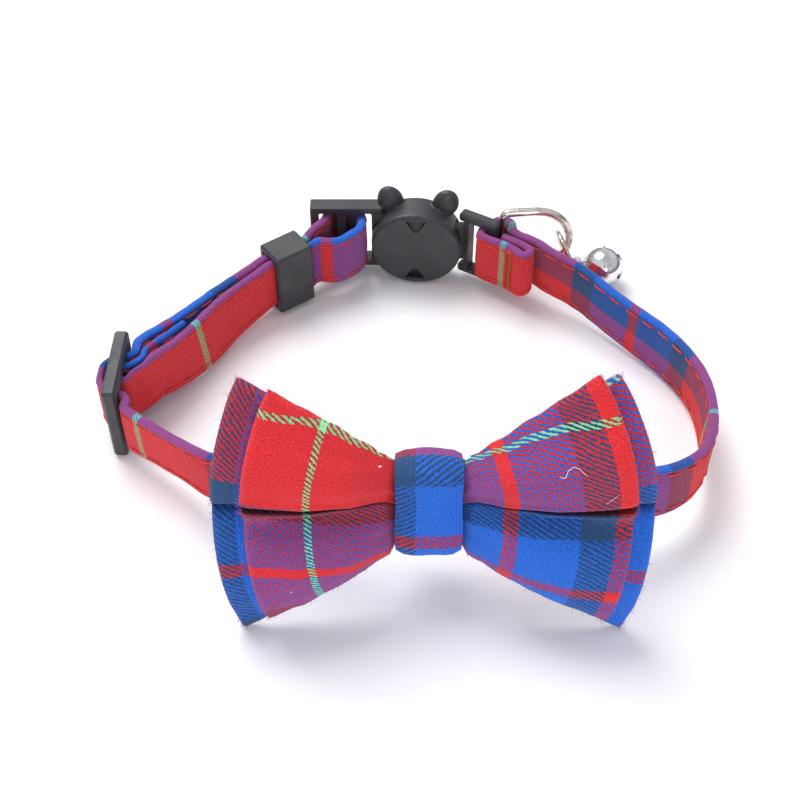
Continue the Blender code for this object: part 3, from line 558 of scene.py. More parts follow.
def catmull(a: Station, b: Station, c: Station, d: Station, share: float) -> Station:
    """A smooth curve from b to c whose speed follows the distances between the places."""
    gaps = [max((q.place - p.place).length, 1e-7) ** 0.5 for p, q in ((a, b), (b, c), (c, d))]
    knots = [0.0, gaps[0], gaps[0] + gaps[1], sum(gaps)]
    t = lerp(knots[1], knots[2], share)

    def between(p: Sequence, q: Sequence, low: float, high: float) -> tuple:
        """Every value of p and q at the curve's time t."""
        part = (t - low) / (high - low)
        return tuple(x + (y - x) * part for x, y in zip(p, q))

    first = between(a, b, knots[0], knots[1])
    second = between(b, c, knots[1], knots[2])
    third = between(c, d, knots[2], knots[3])
    left = between(first, second, knots[0], knots[2])
    right = between(second, third, knots[1], knots[3])
    return Station(*between(left, right, knots[1], knots[2]))


def smooth_route(stations: Sequence[Station], step: float) -> list[Station]:
    """The stations of a smooth curve through the given ones.

    Args:
        stations: The chosen places.
        step: The longest step in metres.

    Returns:
        Stations a step apart or less.
    """
    first = Station(stations[0].place * 2 - stations[1].place, stations[0].up, stations[0].thick)
    last = Station(stations[-1].place * 2 - stations[-2].place, stations[-1].up, stations[-1].thick)
    ends = [first, *stations, last]
    route = []
    for a, b, c, d in zip(ends, ends[1:], ends[2:], ends[3:]):
        count = max(2, ceil((c.place - b.place).length / step))
        route += [catmull(a, b, c, d, i / count) for i in range(count)]
    route.append(stations[-1])
    return route


def plan_frame(place: tuple[float, float], heading: float) -> Callable[[float, float], Vector]:
    """A function from steps along and outwards, at a place in plan, to X and Y."""
    ahead = Vector((cos(heading), sin(heading)))
    out = Vector((-ahead.y, ahead.x))

    def at(along: float, outwards: float) -> Vector:
        """The place in plan after two steps."""
        return Vector(place) + ahead * along + out * outwards

    return at


class Corner(NamedTuple):
    """A wing's top corner: shares of the layer's half width and of its half height."""

    out: float
    rise: float


class Cut(NamedTuple):
    """How one cloth layer of the bow is cut and laid, with its left and right top corners."""

    width: float
    height: float
    thick: float
    rise: float
    shift: float
    corners: tuple[Corner, Corner]
    flare_up: float
    flare_low: float
    creased: float
    seed: float


FRONT = Cut(
    width=53.2 * MM, height=36.2 * MM, thick=2.2 * MM, rise=2.8 * MM, shift=1.2 * MM,
    corners=(Corner(0.845, 0.96), Corner(0.785, 1.085)), flare_up=0.8, flare_low=1.6, creased=1.0, seed=3.1,
)
BACK = Cut(
    width=61.0 * MM, height=40.0 * MM, thick=1.8 * MM, rise=0.7 * MM, shift=0.6 * MM,
    corners=(Corner(0.860, 1.005), Corner(0.800, 1.03)), flare_up=-0.8, flare_low=-0.8, creased=0.5, seed=9.7,
)
CREASE_LEVELS = {0.012, 0.022, 0.034, 0.048, 0.08, 0.10}
FRONT_SLOPE = 0.046
FRONT_START = 1.3  # mm
BACK_SLOPES = (0.045, -0.015)
BACK_GATHERS = (1.15, 1.07)
BACK_MIDDLE = 1.6  # mm


@dataclass
class Bow:
    """The layered bow: two pleated cloth layers, the knot round their middle and the loop that carries the band."""

    place: tuple[float, float, float] = (4.0 * MM, -37.7 * MM, 18.1871 * MM)
    lean: float = radians(20.7)
    layer_gap: float = 0.7 * MM
    pinch_thick: float = 1.2 * MM
    pinch_height: float = 12.4 * MM
    pleat: float = 3.6 * MM
    pinch_pleat: float = 0.9 * MM
    wing_forward: float = 5.0 * MM
    knot_width: float = 9.4 * MM
    knot_wall: float = 1.0 * MM
    knot_corner: float = 2.0 * MM
    loop_width: float = 8.0 * MM
    loop_drop: float = 2.0 * MM
    loop_wall: float = 0.7 * MM
    loop_corner: float = 0.6 * MM
    bottom_corner: float = 0.895
    corner_round: float = 0.010
    crease: float = 1.9 * MM
    crease_width: float = 0.021
    # Where the painted shade below the crease lies and how wide it is, and how dark the painted shade beside the
    # knot is
    shadow_drop: float = 0.026
    knot_shadow: float = 0.55
    crease_lift: float = 0.9 * MM
    flare: float = 1.1 * MM
    lip: float = 0.50 * MM
    lip_place: float = 0.075
    lip_width: float = 0.05
    gather: float = 0.22 * MM
    gather_wave: float = 17
    lump: float = 0.26 * MM
    lump_scale: float = 95  # per metre
    edge_thick: float = 0.12
    knot_puff: float = 0.45 * MM
    ripple: float = 0.16 * MM
    ripple_scale: float = 260  # per metre
    hem_thick: float = 0.32
    step: float = 0.5 * MM
    fibre: float = 0.95 * MM

    def __post_init__(self) -> None:
        """Works out the bow's own directions and depths."""
        self.up = Vector((0, sin(self.lean), cos(self.lean)))
        self.front = Vector((0, -cos(self.lean), sin(self.lean)))
        self.pinch_front = -self.knot_wall - GAP - self.pinch_thick - self.pinch_pleat
        self.knot_depth = 2 * self.knot_wall + 2 * GAP + 2 * self.pinch_thick + self.pinch_pleat + GAP
        self.strap_depth = -self.knot_depth - GAP - self.loop_wall - GAP - STRAP_THICKNESS / 2

    def world(self, u: float, v: float, w: float) -> Vector:
        """A place u to the right, v up the leaning bow and w out of its front, in the band's own plan."""
        return Vector(self.place) + Vector((u, 0, 0)) + self.up * v + self.front * w

    def reach_at(self, u: float) -> float:
        """How far out on a wing a place is, from the knot's edge at 0 to the tip at 1."""
        return max(abs(u) - self.knot_width / 2, 0) / (BACK.width / 2 - self.knot_width / 2)

    def half_height(self, reach: float, full: float) -> float:
        """Half the height of a layer at a reach."""
        return lerp(self.pinch_height, full, look_up(WING_FORM, reach, "height")) / 2

    def fold_line(self, u: float, v: float) -> float:
        """How far forward the cloth's fold line lies at a place of the bow."""
        reach = self.reach_at(u)
        height = self.half_height(reach, FRONT.height)
        pleat = lerp(self.pinch_pleat, self.pleat, look_up(WING_FORM, reach, "pleat"))
        rise = pleat * look_up(PLEAT_FORM, abs(v) / height, "rise")
        return self.pinch_front + self.wing_forward * look_up(WING_FORM, reach, "forward") + rise

    def shares(self) -> tuple[list[float], list[float]]:
        """Shares across and up a layer, from -1 to 1, closer together at the crease and at the edges."""
        outs = [sin(pi / 2 * i / 40) ** 0.9 for i in range(41)]
        rises = sorted({round(sin(pi / 2 * i / 26), 5) for i in range(27)} | CREASE_LEVELS)
        return tuple([-share for share in reversed(half[1:])] + half for half in (outs, rises))

    def layer(self, cut: Cut) -> MeshPlan:
        """A closed cloth layer: its two skins and the folded edge round it.

        Args:
            cut: The layer's cut.

        Returns:
            The layer's mesh with its cloth places.
        """
        across, levels = self.shares()
        fronts, backs, spots, hollow = [], [], [], []
        for a in across:
            right = ease(0.5 + a * cut.width / (2 * self.knot_width))
            top = Corner(*(lerp(p, q, right) for p, q in zip(*cut.corners)))
            for b in levels:
                tip = cut.width / 2 * lerp(1.0, top.out if b > 0 else self.bottom_corner, abs(b) ** 1.8)
                rounded = 1 - self.corner_round * (abs(a) * abs(b)) ** 14
                u = a * tip * rounded
                part = max(abs(u) - self.knot_width / 2, 0) / (tip - self.knot_width / 2)
                half = self.half_height(part, cut.height)
                v = b * half * rounded * (lerp(1.0, top.rise, part) if b > 0 else 1.0)
                u += cut.shift * part
                v += cut.rise * part
                fold = self.fold_line(u, v)
                v += self.crease_lift * (1 - abs(b)) * min(1.0, 12 * part)
                flare = cut.flare_low if b < 0 else cut.flare_up
                v += b * self.flare * ease(part / 0.04) * (1 - part) ** 2 * flare
                # The layer swells from its folded edge to its full thickness
                reach = self.reach_at(u)
                rim = min(1.0, (1 - abs(b)) * half / (0.5 * cut.thick), (1 - abs(a)) * tip / (0.5 * cut.thick))
                body = lerp(self.pinch_thick, cut.thick, look_up(WING_FORM, reach, "thick"))
                deep = body * lerp(self.edge_thick, 1.0, (1 - (1 - rim) ** 2) ** 0.5)
                apart = GAP + self.layer_gap * min(1.0, 5 * reach)
                middle = fold + body / 2 if cut is FRONT else fold - apart - body / 2
                # The pleat's crease lies between two lips; painted shade darkens the cloth just below it and in the
                # corner beside the knot
                creased = min(1.0, 5 * part) * cut.creased
                crease = self.crease * creased * hump(b, 0, self.crease_width)
                lip = self.lip * creased * hump(abs(b), self.lip_place, self.lip_width)
                beside = self.knot_shadow * hump(abs(u), self.knot_width / 2, 0.5 * MM)
                hollow.append(max(hump(b, -self.shadow_drop, self.shadow_drop) * creased, beside))
                middle += self.gather * sin(b * self.gather_wave + 1.3) * hump(part, 0.08, 0.16) * (1 - b * b)
                lumpy = self.lump * min(1.0, 5 * part)
                middle += uneven((u * self.lump_scale, v * self.lump_scale, cut.seed), lumpy)
                back = middle - deep / 2
                fronts.append(self.world(u, v, max(middle + deep / 2 + lip - crease, back + 0.2 * MM)))
                backs.append(self.world(u, v, back))
                spots.append(self.cloth_place(a * cut.width / 2 / MM, b * cut.height / 2 / MM, cut))
        rows, columns, count = len(levels), len(across), len(fronts)
        faces, cloth = [], []
        for i in range(columns - 1):
            for j in range(rows - 1):
                quad = (rows * i + j, rows * (i + 1) + j, rows * (i + 1) + j + 1, rows * i + j + 1)
                faces += [quad, tuple(count + k for k in reversed(quad))]
                cloth += [tuple(spots[k] for k in quad), tuple(spots[k] for k in reversed(quad))]
        border = [rows * i for i in range(columns)]
        border += [rows * (columns - 1) + j for j in range(1, rows)]
        border += [rows * i + rows - 1 for i in range(columns - 2, -1, -1)]
        border += list(range(rows - 2, 0, -1))
        for a, b in zip(border, border[1:] + border[:1]):
            faces.append((a, b, b + count, a + count))
            cloth.append((spots[a], spots[b], spots[b], spots[a]))
        plan = MeshPlan()
        plan.add(fronts + backs, faces, cloth)
        plan.hollow = hollow + hollow
        plan.border = [plan.points[k] for k in border]
        return plan

    def cloth_place(self, across: float, up: float, cut: Cut) -> tuple[float, float]:
        """Where a place of a layer lies on its cloth, whose rows fan out from the knot.

        Args:
            across: Millimetres to the right of the knot's middle.
            up: Millimetres above the crease.
            cut: The layer's cut.

        Returns:
            The place in millimetres along and across the cloth.
        """
        if cut is BACK:
            gathered = BACK_GATHERS[up <= BACK_MIDDLE]
            return across, BACK_MIDDLE + (up - BACK_MIDDLE) / gathered + BACK_SLOPES[across >= 0] * across
        column = ("top" if up > 0 else "low") + ("_left" if across < 0 else "_right")
        left = 0.5 - 0.5 * max(-1.0, min(1.0, across / 3))
        return across + FRONT_START * left, up / look_up(GATHER, abs(across), column) + FRONT_SLOPE * across

    def band_round(
        self, half: tuple[float, float], middle: tuple[float, float], wall: float, corner: float, width: float,
        puff: float,
    ) -> MeshPlan:
        """A flat band closed round the bow or the strap.

        Args:
            half: Half its height and half its depth, to the middle of its wall.
            middle: Its middle, up the bow and out of its front.
            wall: Its thickness.
            corner: The radius of its corners.
            width: Its width across the bow.
            puff: How far its middle stands proud.

        Returns:
            The band's mesh with its cloth places.
        """
        line = []
        for quarter, (sv, sw) in enumerate(((1, 1), (-1, 1), (-1, -1), (1, -1))):
            for k in range(9):
                turn = pi / 2 * (quarter + k / 8)
                v, w = sv * (half[0] - corner), sw * (half[1] - corner)
                line.append(Vector((v + corner * cos(turn), w + corner * sin(turn))))
        dense = []
        for here, after in zip(line, line[1:] + line[:1]):
            count = max(1, round((after - here).length / self.step))
            dense += [here.lerp(after, i / count) for i in range(count)]
        steps = 9
        profile = [-1 + 2 * i / (steps - 1) for i in range(steps)]
        shares = profile + profile[::-1]
        points, gone, lengths = [], 0.0, []
        for number, here in enumerate(dense):
            before, after = dense[number - 1], dense[(number + 1) % len(dense)]
            gone += (here - before).length if number else 0.0
            lengths.append(gone)
            way = (after - before).normalized()
            out = Vector((way.y, -way.x))
            if out.dot(here) < 0:
                out = -out
            slip = 1 + 0.02 * sin(gone * 700)
            waves = here * self.ripple_scale
            for k, share in enumerate(shares):
                deep = wall / 2 * (self.hem_thick if abs(share) == 1 else 1.0)
                if k < steps:
                    deep += puff * (1 - share * share) + uneven((share * 1.7, *waves), self.ripple)
                spot = here + out * (deep if k < steps else -deep)
                points.append(self.world(share * width / 2 * slip, middle[0] + spot.x, middle[1] + spot.y))
        total = gone + self.step
        cloth = []
        for number in range(len(dense)):
            after = (number + 1) % len(dense)
            start, stop = lengths[number] / MM, (lengths[after] if after else total) / MM
            for near, far in zip(shares, shares[1:] + shares[:1]):
                low, high = near * width / 2 / MM, far * width / 2 / MM
                cloth.append(((low, start), (high, start), (high, stop), (low, stop)))
        plan = MeshPlan()
        plan.add(points, tube_faces(2 * steps, len(dense), closed=True), cloth)
        return plan

    def dress(self) -> None:
        """Builds the four cloth pieces, which stand for their CAD solids."""
        front_cloth = TartanTwill("tartan_twill_front", -16.0, 13.9).build()
        back_cloth = TartanTwill("tartan_twill_back", 8.8, 17.4).build()
        knot_cloth = TartanTwill("tartan_twill_knot", -19.8, -14.3).build()
        depth = self.knot_depth
        half_v = self.pinch_height / 2 + GAP + self.knot_wall / 2
        knot = self.band_round(
            (half_v, depth / 2 - self.knot_wall / 2), (-0.2 * MM, -depth / 2), self.knot_wall, self.knot_corner,
            self.knot_width, self.knot_puff,
        )
        loop = self.band_round(
            (STRAP_WIDTH / 2 + GAP + self.loop_wall / 2, STRAP_THICKNESS / 2 + GAP + self.loop_wall / 2),
            (-self.loop_drop, self.strap_depth), self.loop_wall, self.loop_corner, self.loop_width, 0.0,
        )
        pieces = (
            ("bow_front_cloth", self.layer(FRONT), front_cloth, "bow_front", 0.7, "#B0405E"),
            ("bow_back_cloth", self.layer(BACK), back_cloth, "bow_back", 0.55, "#A8385A"),
            ("bow_knot_cloth", knot, knot_cloth, "bow_knot", 0.5, None),
            ("bow_loop_cloth", loop, knot_cloth, "bow_loop", 0.3, None),
        )
        middle = Vector(self.place)
        for name, plan, cloth, node, fill, fibres in pieces:
            if fibres:
                roots = [(spot, (spot - middle).normalized()) for spot in plan.border for _ in range(3)]
                fluff = MeshPlan()
                fluff_along(fluff, roots, len(roots) + len(name), self.fibre)
                tint = Fluff(f"{name}_fibres", fibres).build()
                keep(in_row_frame(fluff).piece(f"{name}_fluff", tint), None)
            piece = in_row_frame(plan).piece(name, cloth)
            keep(piece, node)
        self.loose_bits()

    def loose_bits(self) -> None:
        """Lays a curled loose thread, a stray fibre and two white specks of lint on the front layer."""
        bits = MeshPlan()
        for radius, line in LOOSE_BITS:
            path = []
            for u, v in line:
                out = self.fold_line(u * MM, v * MM) + FRONT.thick + 0.22 * MM
                path.append(self.world(u * MM, v * MM, out))
            strand(bits, path, radius * MM, 5)
        lint = Fluff("pale_cotton_lint", "#E6D6DC", "#FFFFFF").build()
        keep(in_row_frame(bits).piece("bow_loose_threads", lint), None)


class Fold(NamedTuple):
    """A place across a pleat: shares of half the wing's height and of the pleat's height."""

    out: float
    rise: float


class Spread(NamedTuple):
    """A place out along a wing, from the knot's edge to the tip, in shares."""

    out: float
    height: float
    forward: float
    pleat: float
    thick: float


class Gather(NamedTuple):
    """How tightly each quarter of the front layer is gathered, at millimetres from the knot's middle."""

    out: float
    top_left: float
    top_right: float
    low_left: float
    low_right: float


GATHER = (
    Gather(5, 1.33, 1.33, 1.37, 1.32), Gather(11, 1.24, 1.24, 1.10, 1.15), Gather(18, 1.19, 1.18, 0.86, 1.01),
    Gather(26, 1.00, 1.00, 0.75, 0.90),
)
LOOSE_BITS = (
    (0.045, ((17.0, 9.0), (17.4, 8.8), (17.75, 9.0), (18.0, 9.8), (18.7, 10.4), (19.5, 10.2), (20.5, 9.3))),
    (0.03, ((23.2, 5.2), (24.0, 6.0), (24.8, 6.8))),
    (0.14, ((-6.9, 7.4), (-6.7, 7.45), (-6.5, 7.4))),
    (0.10, ((-19.0, -9.0), (-18.9, -9.1), (-18.8, -9.0))),
)
PLEAT_FORM = (
    Fold(0.0, 0.0), Fold(0.10, 0.38), Fold(0.22, 0.72), Fold(0.40, 0.96),
    Fold(0.60, 1.00), Fold(0.80, 0.80), Fold(1.00, 0.36), Fold(1.30, 0.10),
)
WING_FORM = (
    Spread(0.0, 0.00, 0.00, 0.00, 0.00), Spread(0.10, 0.09, 0.16, 0.45, 0.30),
    Spread(0.25, 0.27, 0.42, 0.95, 0.70), Spread(0.50, 0.54, 0.74, 1.00, 1.00),
    Spread(0.75, 0.78, 0.93, 0.82, 1.00), Spread(1.00, 1.00, 1.00, 0.60, 1.00),
)


def look_up(rows: Sequence[NamedTuple], at: float, column: str) -> float:
    """A named column of a table at a place between its rows, in a smooth line."""
    at = min(max(at, rows[0][0]), rows[-1][0])
    for low, high in zip(rows, rows[1:]):
        if at <= high[0]:
            share = (at - low[0]) / (high[0] - low[0])
            return lerp(getattr(low, column), getattr(high, column), ease(share) * 0.4 + share * 0.6)
    return getattr(rows[-1], column)


def in_row_frame(plan: MeshPlan) -> MeshPlan:
    """The plan, moved from the band's own plan into the row frame."""
    moved = [point + ROW_SHIFT for point in plan.points]
    plan.points = [Vector((point.x, point.y, max(point.z, 0.02 * MM))) for point in moved]
    return plan


def keep(piece: bpy.types.Object, node: str | None) -> None:
    """Lets a piece ride on the body and stand for a CAD node.

    Args:
        piece: The finished piece.
        node: The CAD node that it stands for, if any.
    """
    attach(piece, BODY)
    if node:
        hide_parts(node)
    log.info("%s: %d faces", piece.name, len(piece.data.polygons))


class Spot(NamedTuple):
    """A place of the band in millimetres: along a bar, out from it, and the band's thickness there."""

    along: float
    out: float
    thick: float = 1.5


HEM = (
    Spot(1.95, 0.0), Spot(4.5, 0.0), Spot(6.45, -0.2), Spot(7.8, -1.0), Spot(7.2, -2.555), Spot(5.55, -2.15),
    Spot(4.05, -1.85), Spot(0.0, -1.85), Spot(-1.463, -1.443), Spot(-1.95, 0.0), Spot(-1.754, 1.665),
    Spot(-1.2, 2.6), Spot(-0.66, 3.86), Spot(0.6, 4.4), Spot(1.86, 3.86), Spot(2.4, 2.6), Spot(4.05, 1.955),
    Spot(6.0, 1.85), Spot(8.4, 1.55), Spot(10.2, 0.95),
)
CROSSING = (
    Spot(6.025, -2.15, 1.44), Spot(5.0, -2.05, 1.26), Spot(4.15, -1.1, 1.1), Spot(3.74, 0.33, 1.1),
    Spot(2.85, 1.7, 1.1), Spot(1.6, 2.5, 1.1),
)
BUCKLE_LOOP = (
    Spot(-15.005, 29.295), Spot(-13.295, 31.5), Spot(-12.8, 33.495), Spot(-11.905, 35.345), Spot(-10.3, 35.855),
    Spot(-8.605, 35.345), Spot(-7.1, 33.405), Spot(-6.65, 31.5), Spot(-7.145, 29.205), Spot(-8.345, 27.9),
    Spot(-10.25, 26.295), Spot(-11.995, 25.8), Spot(-14.3, 25.95),
)


@dataclass
class Strap:
    """The folded cloth band, from its hem by the buckle round the neck loop to its tail in the slider."""

    bow: Bow
    buckle_z: float = 8.0 * MM
    stitch_inset: float = 1.3 * MM
    stitch_length: float = 2.7 * MM
    stitch_gap: float = 0.8 * MM
    stitch_seed: int = 11
    sewn_from: float = 1.5 * MM
    bare_tail: float = 4.5 * MM
    pucker: float = 0.07
    lump: float = 0.07  # mm
    wander: float = 0.16  # mm
    fibre: float = 0.6 * MM
    thread: float = 0.3 * MM
    step: float = 0.5 * MM
    bar_place: tuple[float, float] = (16.1 * MM, 28.0 * MM)
    bar_heading: float = radians(-30)
    slider_place: tuple[float, float] = (-44.5 * MM, -5.5 * MM)
    slider_heading: float = radians(89)
    slider_z: float = 7.6 * MM
    tack_turns: int = 34
    tack_ends: tuple[tuple[float, float], ...] = ((5.35, -2.96), (4.25, -2.74))  # mm, from the bar
    tack_height: float = 8.6 * MM
    tack_thread: float = 0.26 * MM
    keeper_place: tuple[float, float] = (-19.6 * MM, 24.0 * MM)
    keeper_heading: float = radians(36)
    keeper_z: float = 7.0 * MM
    keeper_length: float = 7.2 * MM

    def __post_init__(self) -> None:
        """Works out the pitch of the stitches, in millimetres."""
        self.pitch = (self.stitch_length + self.stitch_gap) / MM

    def upright(self, spot: Vector, middle: float, thick: float = STRAP_THICKNESS) -> Station:
        """A station whose width stands straight up about a middle height."""
        return Station(Vector((spot.x, spot.y, middle)), Vector((0, 0, 1)), thick)

    def side(self, rows: Sequence[Bend], layer: float = 0.0, thick: float = STRAP_THICKNESS) -> list[Station]:
        """Stations along a side.

        Args:
            rows: The side's places.
            layer: 0 for the outer run, 1 for the inner run and a half for the tail between the two.
            thick: The band's thickness.

        Returns:
            The stations in the rows' order.
        """
        made = []
        for number, row in enumerate(rows):
            low, high = rows[max(number - 1, 0)], rows[min(number + 1, len(rows) - 1)]
            step = Vector(((high.across - low.across) * LOOP_WIDTH, (high.along - low.along) * LOOP_DEPTH))
            out = Vector((-step.y, step.x)).normalized()
            if out.dot(Vector((row.across, row.along))) < 0:
                out = -out
            drop = layer * (STRAP_THICKNESS + GAP + row.slack * STRAP_WIDTH)
            lean = radians(row.lean)
            up = Vector((out.x * sin(lean), out.y * sin(lean), cos(lean)))
            x, y = row.across * LOOP_WIDTH / 2 - out.x * drop, row.along * LOOP_DEPTH / 2 - out.y * drop
            made.append(Station(Vector((x, y, row.lift * STRAP_WIDTH + up.z * STRAP_WIDTH / 2)), up, thick))
        return made

    def route(self) -> list[Station]:
        """Every station of the band in order, in the band's own plan."""
        lane = STRAP_THICKNESS + GAP
        bar = plan_frame(self.bar_place, self.bar_heading)
        stations = [self.upright(bar(s.along * MM, s.out * MM), self.buckle_z) for s in HEM]
        stations += self.side(RIGHT_SIDE)
        for share in (1, 1 / 3, -1 / 3, -1):
            place = self.bow.world(share * self.bow.loop_width, -self.bow.loop_drop, self.bow.strap_depth)
            stations.append(Station(place, self.bow.up, STRAP_THICKNESS))
        stations += self.side(FRONT_LEFT)
        at = plan_frame(self.slider_place, self.slider_heading)
        inside = 2.15  # mm inside the slider's middle
        run = [Spot(-7.1, -inside)] + [Spot(-s.along, s.out, s.thick) for s in CROSSING]
        run += [Spot(0, 2.65, 1.1), *reversed(CROSSING), Spot(7.1, -inside)]
        stations += [self.upright(at(s.along * MM, s.out * MM), self.slider_z, s.thick * MM) for s in run]
        stations += self.side(LEFT_SIDE)
        sleeve = plan_frame(self.keeper_place, self.keeper_heading)
        through = [self.keeper_length * share for share in (-0.56, -0.3, 0.3, 0.56)]
        stations += [self.upright(sleeve(s, lane / 2), self.keeper_z) for s in through]
        stations += [self.upright(Vector((s.along * MM, s.out * MM)), self.buckle_z) for s in BUCKLE_LOOP]
        stations += [self.upright(sleeve(s, -lane / 2), self.keeper_z) for s in reversed(through)]
        stations += self.side(LEFT_SIDE, layer=1.0)[::-1]
        wrap = (
            Spot(4.18, -5.15), Spot(2.173, -4.05, 1.0), Spot(0.41, -2.405, 0.8), Spot(-1.12, -1.428, 0.8),
            Spot(-1.6, 0, 0.8), Spot(-1.12, 1.204, 0.8), Spot(0, 1.4, 0.8), Spot(1.12, 1.204, 0.8),
            Spot(1.6, 0, 0.8), Spot(1.805, -1.4, 0.8), Spot(3.77, -3.4, 1.0), Spot(5.615, -3.7, 1.0),
        )
        stations += [self.upright(at(s.along * MM, s.out * MM), self.slider_z, s.thick * MM) for s in wrap]
        stations += self.side(LEFT_SIDE[1:3], layer=0.5, thick=STRAP_TAIL)
        return smooth_route(stations, self.step)

    def section(self) -> list[tuple[float, float, float]]:
        """The band's section: steps across and up, and the place across the cloth, all in millimetres."""
        half, flat, soft = 0.75, 5.0, 0.62
        inset = self.stitch_inset / MM
        rises = (flat - soft, flat - inset + 0.45, flat - inset, flat - inset - 0.55, 2.0, 0.7)
        face = [(-half + (0.11 if k == 2 else 0.0) - (0.03 if k > 3 else 0.0), rise) for k, rise in enumerate(rises)]
        face += [(across, -rise) for across, rise in reversed(face)]
        turns = [pi * k / 6 for k in range(1, 6)]
        foot = [(-half * cos(turn), -flat + soft - soft * sin(turn)) for turn in turns]
        line = face + foot + [(-across, rise) for across, rise in reversed(face)]
        line += [(half * cos(turn), flat - soft + soft * sin(turn)) for turn in turns]
        places, gone = [], 0.4
        for (x0, y0), (x1, y1) in zip([line[0], *line], line):
            gone += ((x1 - x0) ** 2 + (y1 - y0) ** 2) ** 0.5
            places.append((x1, y1, gone))
        return places

    def slip(self, at: float) -> float:
        """How far the pattern runs ahead at a length along the band, in millimetres."""
        return look_up(PATTERN_SLIP, at, "by")

    def skin(self, route: Sequence[Station]) -> tuple[list[Vector], list[Vector], list[float]]:
        """The band's sideways directions, upward directions and lengths in millimetres along a route."""
        sides, ups, lengths, gone = [], [], [], 0.0
        for number, here in enumerate(route):
            before, after = route[max(number - 1, 0)], route[min(number + 1, len(route) - 1)]
            gone += (here.place - before.place).length / MM
            up = here.up.normalized()
            sides.append((after.place - before.place).cross(up).normalized())
            ups.append(up)
            lengths.append(gone)
        return sides, ups, lengths

    def cloth(self, route: Sequence[Station]) -> MeshPlan:
        """The band itself, slightly uneven as sewn cloth is.

        Args:
            route: Its stations.

        Returns:
            The closed band with its cloth places.
        """
        sides, ups, lengths = self.skin(route)
        section = self.section()
        count, round_gap = len(section), 0.4
        stitch_line = (STRAP_WIDTH / 2 - self.stitch_inset) / MM
        plan, points = MeshPlan(), []
        for here, side, up, at in zip(route, sides, ups, lengths):
            thin = here.thick / STRAP_THICKNESS
            wander = uneven((at * 0.11, 4.0, 1.0), self.wander)
            pucker = 1 + sin(at * 2 * pi / self.pitch)
            for across, rise, place in section:
                near_stitch = hump(abs(rise), stitch_line, 0.5) if abs(across) > 0.5 else 0.0
                lump = uneven((at * 0.45, place * 0.5, 2.0), self.lump * thin)
                step = across * thin * (1 - self.pucker * near_stitch * pucker) + (lump if across > 0 else -lump)
                height = rise * (1 - 0.006 * pucker * (abs(rise) > 4)) + wander * (rise / 5)
                points.append(here.place + side * step * MM + up * height * MM)
        faces, cloth = tube_faces(count, len(route)), []
        total = section[-1][2] + round_gap
        for number in range(len(route) - 1):
            start, stop = (lengths[k] + self.slip(lengths[k]) for k in (number, number + 1))
            for k in range(count):
                n = (k + 1) % count
                here, there = section[k][2], section[n][2] if n else total
                cloth.append(((start, here), (start, there), (stop, there), (stop, here)))
        for number, at in ((0, lengths[0]), (len(route) - 1, lengths[-1])):
            faces.append(tuple(count * number + k for k in range(count)))
            cloth.append(tuple((at + self.slip(at), section[k][2]) for k in range(count)))
        plan.add(points, faces, cloth)
        return plan

    def stitches(self, route: Sequence[Station]) -> MeshPlan:
        """Two rows of lock stitches on both faces: each one a short length of thread that dips in at its ends."""
        sides, ups, lengths = self.skin(route)
        plan = MeshPlan()
        rng = random.Random(self.stitch_seed)
        radius = self.thread / 2

        def spot(at: float, face: float, rise: float, proud: float) -> Vector:
            """A point on a face of the band."""
            low, high = 0, len(lengths) - 1
            while high - low > 1:
                place = (low + high) // 2
                low, high = (place, high) if lengths[place] <= at else (low, place)
            share = (at - lengths[low]) / max(lengths[high] - lengths[low], 1e-9)
            middle = route[low].place.lerp(route[high].place, share)
            side, up = sides[low].lerp(sides[high], share), ups[low].lerp(ups[high], share)
            deep = lerp(route[low].thick, route[high].thick, share) / 2 - 0.06 * MM
            return middle + side * face * (deep + proud) + up * rise

        for face in Face:
            for row in (1.0, -1.0):
                at = self.sewn_from / MM + 0.6 * (face is Face.NECK) + 0.9 * (row > 0)
                while at < lengths[-1] - self.bare_tail / MM:
                    rise = row * (STRAP_WIDTH / 2 - self.stitch_inset) + rng.uniform(-0.08, 0.08) * MM
                    slant = rng.uniform(-0.06, 0.06) * MM
                    long = self.stitch_length / MM * rng.uniform(0.94, 1.05)
                    path = []
                    for k in range(7):
                        share = k / 6
                        arch = (1 - (2 * share - 1) ** 4) * radius * 1.15 - 0.09 * MM
                        path.append(spot(at + long * share, face.value, rise + slant * (share - 0.5), arch))
                    strand(plan, path, radius, 6)
                    at += self.pitch
        return plan

    def bar_tack(self) -> MeshPlan:
        """The close zigzag of thread that holds the band's sewn end."""
        bar = plan_frame(self.bar_place, self.bar_heading)
        path = []
        for k in range(self.tack_turns):
            along, out = self.tack_ends[k % 2]
            rise = self.tack_height * (k / (self.tack_turns - 1) - 0.5)
            path.append(Vector((*bar(along * MM, out * MM), self.buckle_z + rise)))
        plan = MeshPlan()
        strand(plan, path, self.tack_thread / 2, 6)
        return plan

